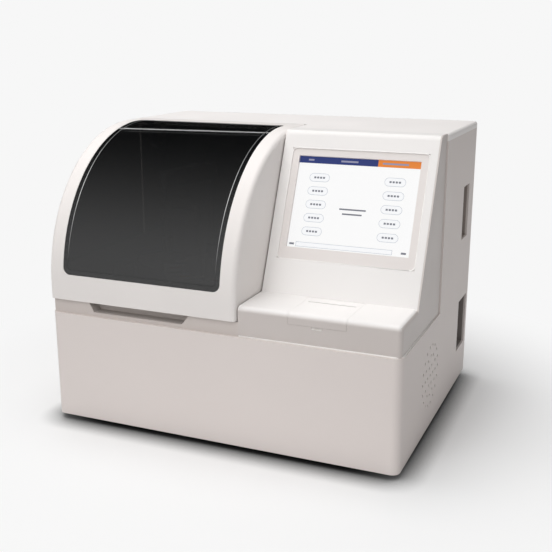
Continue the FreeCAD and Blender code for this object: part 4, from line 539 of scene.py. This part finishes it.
def litFinish(name, colour):
    # a lit colour broken up by the panel's fine rows
    mat, tree, bsdf = newFinish(name, shade(colour, lit["offShade"]), lit["rough"], specular=lit["specular"])
    rows = tree.nodes.new("ShaderNodeTexChecker")
    rows.inputs["Scale"].default_value = lit["rows"]
    rows.inputs["Color1"].default_value = colour
    rows.inputs["Color2"].default_value = shade(colour, lit["rowShade"])
    tree.links.new(objectPlace(tree), rows.inputs["Vector"])
    tree.links.new(rows.outputs["Color"], bsdf.inputs["Emission Color"])
    bsdf.inputs["Emission Strength"].default_value = lit["glow"]
    return mat


def ovalCorners(x, rise, width, height, steps=10):
    # a rectangle with half-round ends
    radius = height / 2
    corners = []
    for centre, start in ((x + width - radius, -90), (x + radius, 90)):
        for step in range(steps + 1):
            angle = math.radians(start + 180 * step / steps)
            corners.append((centre + radius * math.cos(angle), rise + radius + radius * math.sin(angle)))
    return corners


def boxCorners(x, rise, width, height):
    return [(x, rise), (x + width, rise), (x + width, rise + height), (x, rise + height)]


def newPiece(name, verts, faces, mat, body="housing", smooth=False):
    mesh = bpy.data.meshes.new(name)
    mesh.from_pydata([tuple(v) for v in verts], [], faces)
    mesh.materials.append(mat)
    mesh.validate()
    if smooth:
        mesh.shade_smooth()
    obj = bpy.data.objects.new(name, mesh)
    bpy.context.collection.objects.link(obj)
    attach(obj, body)
    return obj


def paintShapes(name, shapes, layer, mat):
    # flat shapes on the screen, the given number of layers above its face
    verts, faces = [], []
    out = slope["faceOut"] + layer * screen["layer"]
    for corners in shapes:
        faces.append(list(range(len(verts), len(verts) + len(corners))))
        verts += [onSlope(screen["left"] + x, screen["rise"] + rise, out) for x, rise in corners]
    return newPiece(name, verts, faces, mat)


def rimmed(corners, x, rise, width, height):
    # the outline of a field and the field inside its line
    line = picture["rim"]
    return corners(x, rise, width, height), corners(x + line, rise + line, width - 2 * line, height - 2 * line)


def makePicture():
    wide, tall = screen["width"], screen["height"]
    dash = picture["dashHeight"]
    split = wide * picture["barSplit"]
    barLow = tall - picture["barHeight"]
    paintShapes("screenField", [boxCorners(0, 0, wide, tall)], 0, litFinish("screenWhite", srgb(253, 253, 253)))
    paintShapes("screenTitleBar", [boxCorners(0, barLow, split, picture["barHeight"])], 1,
                litFinish("screenNavy", srgb(36, 52, 116)))
    paintShapes("screenAlertBar", [boxCorners(split, barLow, wide - split, picture["barHeight"])], 1,
                litFinish("screenOrange", srgb(232, 134, 52)))
    titleRise = barLow + (picture["barHeight"] - picture["titleHeight"]) / 2
    titles = [boxCorners(start, titleRise, end - start, picture["titleHeight"]) for start, end in picture["titles"]]
    paintShapes("screenTitles", titles, 2, litFinish("screenTitleInk", srgb(150, 150, 176)))
    fields, dashes = [], []
    for row in range(picture["buttons"]):
        rise = picture["buttonFirst"] + row * picture["buttonPitch"]
        for x in (picture["buttonInset"], wide - picture["buttonInset"] - picture["buttonWidth"]):
            fields.append(rimmed(ovalCorners, x, rise, picture["buttonWidth"], picture["buttonHeight"]))
            run = picture["dashPitch"] * (picture["dashCount"] - 1) + picture["dashLength"]
            start = x + (picture["buttonWidth"] - run) / 2
            dashes += [boxCorners(start + k * picture["dashPitch"], rise + (picture["buttonHeight"] - dash) / 2,
                                  picture["dashLength"], dash) for k in range(picture["dashCount"])]
    fields.append(rimmed(boxCorners, picture["statusLeft"], picture["statusRise"],
                         picture["statusRight"] - picture["statusLeft"], picture["statusHeight"]))
    paintShapes("screenRims", [rim for rim, inside in fields], 1, litFinish("screenLine", srgb(176, 184, 196)))
    paintShapes("screenFields", [inside for rim, inside in fields], 2, litFinish("screenPale", srgb(250, 251, 253)))
    for length, rise in picture["notes"]:
        dashes.append(boxCorners((wide - length) / 2, rise, length, picture["noteHeight"]))
    for x in picture["marks"]:
        dashes.append(boxCorners(x, picture["markRise"], picture["markLength"], dash))
    paintShapes("screenDashes", dashes, 3, litFinish("screenInk", srgb(120, 122, 132)))


makePicture()
print("screen ready")


# raised rim of the pane, in millimetres

paneRim = {"left": -286, "right": 13, "bottom": 270, "rear": 30, "inset": 9, "corner": 6, "radius": 0.55,
           "lidRadius": 262, "lidTop": 510, "lidFront": -250, "proud": 0.42, "sink": 0.5, "sides": 8,
           "cornerTurn": 15, "stride": 9}


def paneSurface(x, run):
    # a place on the pane: run climbs the front, follows the arc and goes back along the top
    radius = paneRim["lidRadius"] - paneRim["sink"]
    knee, middle = paneRim["lidTop"] - paneRim["lidRadius"], paneRim["lidFront"] + paneRim["lidRadius"]
    rise = run - knee
    if rise <= 0:
        return Vector((x, middle - radius, run)), Vector((0, -1, 0))
    angle = min(rise / radius, math.pi / 2)
    normal = Vector((0, -math.cos(angle), math.sin(angle)))
    place = Vector((x, middle, knee)) + normal * radius
    over = rise - radius * math.pi / 2
    if over > 0:
        place.y += over
    return place, normal


def rimPath():
    # a rounded rectangle on the unrolled pane, with points close enough to follow the arc
    radius = paneRim["lidRadius"] - paneRim["sink"]
    knee, middle = paneRim["lidTop"] - paneRim["lidRadius"], paneRim["lidFront"] + paneRim["lidRadius"]
    top = knee + radius * math.pi / 2 + paneRim["rear"] - middle
    left, right = paneRim["left"] + paneRim["inset"], paneRim["right"] - paneRim["inset"]
    bottom, rear = paneRim["bottom"] + paneRim["inset"], top - paneRim["inset"]
    corner, turn = paneRim["corner"], paneRim["cornerTurn"]
    flat = []
    for cx, cy, start in ((right - corner, bottom + corner, -90), (right - corner, rear - corner, 0),
                          (left + corner, rear - corner, 90), (left + corner, bottom + corner, 180)):
        angles = [math.radians(start + turn * k) for k in range(90 // turn + 1)]
        flat += [(cx + corner * math.cos(angle), cy + corner * math.sin(angle)) for angle in angles]
    dense = []
    for (ax, ay), (bx, by) in zip(flat, flat[1:] + flat[:1]):
        parts = max(1, int(abs(by - ay) / paneRim["stride"]))
        dense += [(ax + (bx - ax) * k / parts, ay + (by - ay) * k / parts) for k in range(parts)]
    return dense


rimPaintedHighlight = {"colour": srgb(60, 60, 62), "rough": 0.2, "low": 0.27, "high": 0.51, "sheen": 60, "smooth": 0.15,
           "dull": 0.3, "stops": ((0.1, srgb(34, 34, 35)), (0.6, srgb(228, 228, 228)), (0.97, srgb(120, 120, 120)))}


def rimHighlightPlastic():
    # painted highlight: the ground edge's colour is light high on the arc and darkens towards the floor
    mat, tree, bsdf = newFinish("paneRimPaintedHighlight", rimPaintedHighlight["colour"], rimPaintedHighlight["rough"])
    vector = objectPlace(tree)
    height = mapRange(tree, axesOf(tree, vector)["Z"], rimPaintedHighlight["low"], rimPaintedHighlight["high"])
    tree.links.new(ramp(tree, height, rimPaintedHighlight["stops"]), bsdf.inputs["Base Color"])
    roughened(tree, bsdf, vector, rimPaintedHighlight["sheen"], rimPaintedHighlight["smooth"], rimPaintedHighlight["dull"])
    return mat


def makePaneRim():
    path = rimPath()
    sides = paneRim["sides"]
    verts, faces = [], []
    places = [paneSurface(x, run) for x, run in path]
    count = len(places)
    for number, (place, normal) in enumerate(places):
        ahead = places[(number + 1) % count][0] - places[number - 1][0]
        across = ahead.normalized().cross(normal)
        centre = place + normal * (paneRim["proud"] - paneRim["radius"])
        for side in range(sides):
            angle = 2 * math.pi * side / sides
            verts.append((centre + (normal * math.cos(angle) + across * math.sin(angle)) * paneRim["radius"]) * mm)
    for number in range(count):
        after = (number + 1) % count
        for side in range(sides):
            beside = (side + 1) % sides
            faces.append([number * sides + side, number * sides + beside, after * sides + beside,
                          after * sides + side])
    newPiece("paneRim", verts, faces, rimHighlightPlastic(), "lid", True)


makePaneRim()
print("window rim ready")


# turned and drawn small parts

def turned(profile, place, along, sides=20, hollow=False):
    # a profile of (radius, height) turned about the line along, from place; a hollow one closes on itself
    along = Vector(along).normalized()
    first = along.orthogonal().normalized()
    second = along.cross(first)
    verts, faces = [], []
    for radius, height in profile:
        for side in range(sides):
            angle = 2 * math.pi * side / sides
            verts.append(Vector(place) + along * height + (first * math.cos(angle) + second * math.sin(angle)) * radius)
    for row in range(len(profile) - 1):
        for side in range(sides):
            beside = (side + 1) % sides
            faces.append([row * sides + side, row * sides + beside, (row + 1) * sides + beside,
                          (row + 1) * sides + side])
    last = (len(profile) - 1) * sides
    if hollow:
        faces += [[last + side, last + (side + 1) % sides, (side + 1) % sides, side] for side in range(sides)]
    else:
        faces.append(list(range(sides))[::-1])
        faces.append([last + side for side in range(sides)])
    return verts, faces


def merged(parts):
    verts, faces = [], []
    for partVerts, partFaces in parts:
        faces += [[index + len(verts) for index in face] for face in partFaces]
        verts += partVerts
    return verts, faces


def drawnTube(path, radius, sides=12):
    # a round bar that follows the points of path
    verts, faces = [], []
    path = [Vector(point) for point in path]
    side = None
    for number, point in enumerate(path):
        ahead = (path[min(number + 1, len(path) - 1)] - path[max(number - 1, 0)]).normalized()
        side = ahead.orthogonal().normalized() if side is None else (side - ahead * side.dot(ahead)).normalized()
        up = ahead.cross(side)
        verts += [point + (side * math.cos(2 * math.pi * k / sides) + up * math.sin(2 * math.pi * k / sides)) * radius
                  for k in range(sides)]
    for row in range(len(path) - 1):
        for k in range(sides):
            beside = (k + 1) % sides
            faces.append([row * sides + k, row * sides + beside, (row + 1) * sides + beside, (row + 1) * sides + k])
    faces.append(list(range(sides))[::-1])
    faces.append([(len(path) - 1) * sides + k for k in range(sides)])
    return verts, faces


# light lip where the console meets the casing; the bead is real, and its whiter colour is a painted highlight

ledgeLip = {"left": 0.0445, "right": 0.3128, "front": -0.2452, "height": 0.2009, "back": -0.046, "radius": 0.0012,
            "corner": 0.012, "steps": 8}


def makeLedgeLip():
    right, front, corner = ledgeLip["right"], ledgeLip["front"], ledgeLip["corner"]
    path = [(ledgeLip["left"], front, ledgeLip["height"])]
    for step in range(ledgeLip["steps"] + 1):
        angle = math.radians(-90 + 90 * step / ledgeLip["steps"])
        path.append((right - corner + corner * math.cos(angle), front + corner + corner * math.sin(angle),
                     ledgeLip["height"]))
    path.append((right, ledgeLip["back"], ledgeLip["height"]))
    newPiece("ledgeLip", *drawnTube(path, ledgeLip["radius"]), mouldedPlastic("lipHighlightPlastic", srgb(246, 243, 240), 0.4),
             "housing", True)


makeLedgeLip()


# rolled lip round the bezel's recess; the bead is real, and its whiter colour is a painted highlight

bezelLip = {"left": 60 * mm, "right": 297.2 * mm, "low": 59.5 * mm, "high": 251.9 * mm, "corner": 8 * mm,
            "radius": 1.1 * mm, "sunk": 0.75 * mm, "steps": 8}


def bezelLipPath():
    corner = bezelLip["corner"]
    left, right = bezelLip["left"] + corner, bezelLip["right"] - corner
    low, high = bezelLip["low"] + corner, bezelLip["high"] - corner
    path = []
    for x, rise, start in ((right, low, -90), (right, high, 0), (left, high, 90), (left, low, 180)):
        for step in range(bezelLip["steps"] + 1):
            angle = math.radians(start + 90 * step / bezelLip["steps"])
            path.append(onSlope(x + corner * math.cos(angle), rise + corner * math.sin(angle), -bezelLip["sunk"]))
    return path + path[:1]


newPiece("bezelLip", *drawnTube(bezelLipPath(), bezelLip["radius"]),
         mouldedPlastic("bezelLipHighlightPlastic", srgb(244, 241, 239), 0.38), "housing", True)


# thumb scoop under the printer flap

scoop = {"left": 0.1682, "right": 0.1858, "low": 0.2272, "high": 0.2318, "front": -0.2449, "depth": 0.0034,
         "across": 16, "up": 8}


def makeScoop():
    verts, faces = [], []
    for row in range(scoop["up"] + 1):
        lift = row / scoop["up"]
        for column in range(scoop["across"] + 1):
            part = column / scoop["across"]
            bulge = math.sqrt(max(0, 1 - (2 * part - 1) ** 2)) * math.sin(lift * math.pi / 2)
            verts.append((scoop["left"] + (scoop["right"] - scoop["left"]) * part,
                          scoop["front"] + scoop["depth"] * bulge,
                          scoop["low"] + (scoop["high"] - scoop["low"]) * lift))
    wide = scoop["across"] + 1
    for row in range(scoop["up"]):
        for column in range(scoop["across"]):
            start = row * wide + column
            faces.append([start, start + 1, start + wide + 1, start + wide])
    newPiece("flapScoop", verts, faces, mouldedPlastic("scoopPlastic", srgb(226, 221, 217), 0.45), "housing", True)


makeScoop()


# caps over the ears that carry the flap's knuckle

earCap = {"centres": (0.12735, 0.22665), "back": -0.1490, "long": 0.0088, "wide": 0.0040, "low": 0.2498,
          "high": 0.2503, "chamfer": 0.0002}


def makeEarCaps():
    parts = []
    for centre in earCap["centres"]:
        verts = []
        rows = ((0, earCap["low"]), (0, earCap["high"] - earCap["chamfer"]), (earCap["chamfer"], earCap["high"]))
        for inset, height in rows:
            corners = ovalCorners(earCap["back"] - earCap["long"] + inset, centre - earCap["wide"] / 2 + inset,
                                  earCap["long"] - 2 * inset, earCap["wide"] - 2 * inset)
            verts += [Vector((x, y, height)) for y, x in corners]
        count = len(verts) // len(rows)
        faces = [[row * count + (k + 1) % count, row * count + k,
                  (row + 1) * count + k, (row + 1) * count + (k + 1) % count]
                 for row in range(len(rows) - 1) for k in range(count)]
        faces.append([(len(rows) - 1) * count + k for k in range(count)][::-1])
        faces.append(list(range(count)))
        parts.append((verts, faces))
    newPiece("earCaps", *merged(parts), mouldedPlastic("earCapPlastic", srgb(234, 230, 228), 0.42), "housing")


makeEarCaps()
print("trim ready")


# dust screen behind the side vents

dustScreen = {"x": 0.3106, "y": -0.055, "z": 0.106, "reach": 0.06, "thick": 0.0003, "sides": 24}
foam = {"rough": 0.9, "specular": 0.2, "pores": 900, "pit": (0.1, 0.55), "wall": (0.6, 1.1), "bump": (0.6, 0.0006)}


def foamFinish(name, colour):
    mat, tree, bsdf = newFinish(name, colour, foam["rough"], specular=foam["specular"])
    pores = cells(tree, objectPlace(tree), foam["pores"])["Distance"]
    stops = [(place, shade(colour, amount)) for place, amount in (foam["pit"], foam["wall"])]
    tree.links.new(ramp(tree, pores, stops), bsdf.inputs["Base Color"])
    bump(tree, bsdf, pores, *foam["bump"])
    return mat


newPiece("dustScreen", *turned([(dustScreen["reach"], 0), (dustScreen["reach"], dustScreen["thick"])],
                               (dustScreen["x"] - dustScreen["thick"], dustScreen["y"], dustScreen["z"]), (1, 0, 0),
                               dustScreen["sides"]),
         foamFinish("dustFoam", srgb(176, 170, 166)), "housing")


# screws

# the dome's points are parts of the head's radius and rise
screw = {"head": 3.6 * mm, "rise": 1.5 * mm, "socket": 1.9 * mm, "sunk": 1.1 * mm, "tip": 0.19 * mm,
         "tipSunk": 1.3 * mm, "dome": ((1, 0), (1, 0.35), (0.86, 0.78), (0.62, 1)), "sides": 18}


def screwHead(place, along):
    rise, socket = screw["rise"], screw["socket"]
    dome = [(screw["head"] * out, rise * up) for out, up in screw["dome"]]
    hole = [(socket, rise), (socket, rise - screw["sunk"]), (screw["tip"], rise - screw["tipSunk"])]
    return turned(dome + hole, place, along, screw["sides"])


rearScrews = {"inset": 9 * mm, "face": 0.242, "rows": 3}
deckScrews = {"inset": 11 * mm, "lift": 0.0002}
armScrews = {"probe_swing": (-0.180, 0.105, 0.4249), "mixer_swing": (-0.288, 0.112, 0.3219)}


def makeScrews():
    steel = brushedMetal("screwSteel", srgb(188, 190, 194), 0.28, (120, 120, 120))

    low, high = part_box("rear_panel")
    inset = rearScrews["inset"]
    heads = []
    for row in range(rearScrews["rows"]):
        height = low[2] + inset + (high[2] - low[2] - 2 * inset) * row / (rearScrews["rows"] - 1)
        for x in (low[0] + inset, high[0] - inset):
            heads.append(screwHead((x, rearScrews["face"], height), (0, 1, 0)))
    newPiece("rearScrews", *merged(heads), steel)

    low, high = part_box("work_deck")
    inset = deckScrews["inset"]
    heads = [screwHead((x, y, high[2] - deckScrews["lift"]), (0, 0, 1))
             for x in (low[0] + inset, high[0] - inset) for y in (low[1] + inset, high[1] - inset)]
    newPiece("deckScrews", *merged(heads), steel)

    for body, place in armScrews.items():
        newPiece(body.split("_")[0] + "ArmScrew", *screwHead(place, (0, 0, 1)), steel, body)


makeScrews()
print("screws ready")


# what stands in the carousel

carousel = {"x": -0.078, "y": -0.060}
serum = {"ring": 0.058, "phase": 162.8, "count": 16, "radius": 0.0048, "low": 0.2235, "footWidth": 0.6,
         "footRise": 0.4, "levels": (0.252, 0.246, 0.258, 0.249), "dome": 0.0006, "domeWidth": 0.7, "sides": 16}
liquid = {"rough": 0.08, "alpha": 0.9, "patch": 40, "spread": 0.08, "sheen": 30, "smooth": 0.04, "dull": 0.1}
collar = {"ring": 0.084, "count": 16, "outer": 0.0101, "inner": 0.0093, "low": 0.2572, "high": 0.2604, "sides": 24,
          "ribs": 8, "ribDepth": 0.2 * mm, "ribFirst": 0.15, "ribPitch": 0.1,
          "colours": (srgb(58, 104, 170), srgb(196, 74, 62), srgb(72, 146, 96), srgb(224, 172, 58))}


def aroundDisk(ring, phase, number, count):
    angle = math.radians(phase + 360 * number / count)
    return carousel["x"] + ring * math.cos(angle), carousel["y"] + ring * math.sin(angle)


def liquidFinish(name, colour):
    mat, tree, bsdf = newFinish(name, colour, liquid["rough"])
    vector = objectPlace(tree)
    tinted(tree, bsdf, vector, colour, liquid["patch"], liquid["spread"])
    bsdf.inputs["Alpha"].default_value = liquid["alpha"]
    roughened(tree, bsdf, vector, liquid["sheen"], liquid["smooth"], liquid["dull"])
    return mat


def makeSamples():
    columns = []
    for number in range(serum["count"]):
        x, y = aroundDisk(serum["ring"], serum["phase"], number, serum["count"])
        level = serum["levels"][number % len(serum["levels"])] - serum["low"]
        radius = serum["radius"]
        profile = [(radius * serum["footWidth"], 0), (radius, radius * serum["footRise"]), (radius, level),
                   (radius * serum["domeWidth"], level - serum["dome"])]
        columns.append(turned(profile, (x, y, serum["low"]), (0, 0, 1), serum["sides"]))
    newPiece("sampleSerum", *merged(columns), liquidFinish("serumAmber", srgb(206, 158, 70)), "reagent_carousel", True)


def makeCollars():
    tall = collar["high"] - collar["low"]
    ribs = [(collar["outer"] - (collar["ribDepth"] if step % 2 else 0),
             tall * (collar["ribFirst"] + collar["ribPitch"] * step)) for step in range(collar["ribs"])]
    for group, colour in enumerate(collar["colours"]):
        rings = []
        for number in range(group, collar["count"], len(collar["colours"])):
            x, y = aroundDisk(collar["ring"], 0, number, collar["count"])
            rings.append(turned([(collar["inner"], 0)] + ribs + [(collar["inner"], tall)], (x, y, collar["low"]),
                                (0, 0, 1), collar["sides"], True))
        newPiece("bottleCollars%d" % (group + 1), *merged(rings),
                 mouldedPlastic("collarPlastic%d" % (group + 1), colour, 0.4), "reagent_carousel", True)


makeSamples()
makeCollars()
print("carousel ready")


# folded strips that close the deck's front beside the finger recess

deckEdge = {"spans": ((-0.3065, -0.2446), (-0.0394, 0.0424)), "front": -0.2405, "back": -0.2172, "top": 0.2148,
            "thick": 0.0012, "fold": 0.007, "bend": 0.002, "steps": 5}


def makeDeckEdges():
    front, back, top, thick = deckEdge["front"], deckEdge["back"], deckEdge["top"], deckEdge["thick"]
    bend, steps = deckEdge["bend"], deckEdge["steps"]

    def corner(radius):
        return [(front + bend - radius * math.sin(math.radians(90 * k / steps)),
                 top - bend + radius * math.cos(math.radians(90 * k / steps))) for k in range(steps + 1)]

    outer = [(back, top)] + corner(bend) + [(front, top - deckEdge["fold"])]
    inner = [(back, top - thick)] + corner(bend - thick) + [(front + thick, top - deckEdge["fold"])]
    outline = outer + inner[::-1]
    count = len(outline)
    parts = []
    for left, right in deckEdge["spans"]:
        verts = [Vector((x, y, z)) for x in (left, right) for y, z in outline]
        faces = [[k, (k + 1) % count, count + (k + 1) % count, count + k] for k in range(count)]
        faces += [[k, k + 1, count - 2 - k, count - 1 - k] for k in range(len(outer) - 1)]
        faces += [[2 * count - 1 - k, 2 * count - 2 - k, count + k + 1, count + k] for k in range(len(outer) - 1)]
        parts.append((verts, faces))
    newPiece("deckEdges", *merged(parts), powderCoat("deckEdgePaint", srgb(160, 162, 164), 0.42), "housing")


makeDeckEdges()
print("deck edges ready")
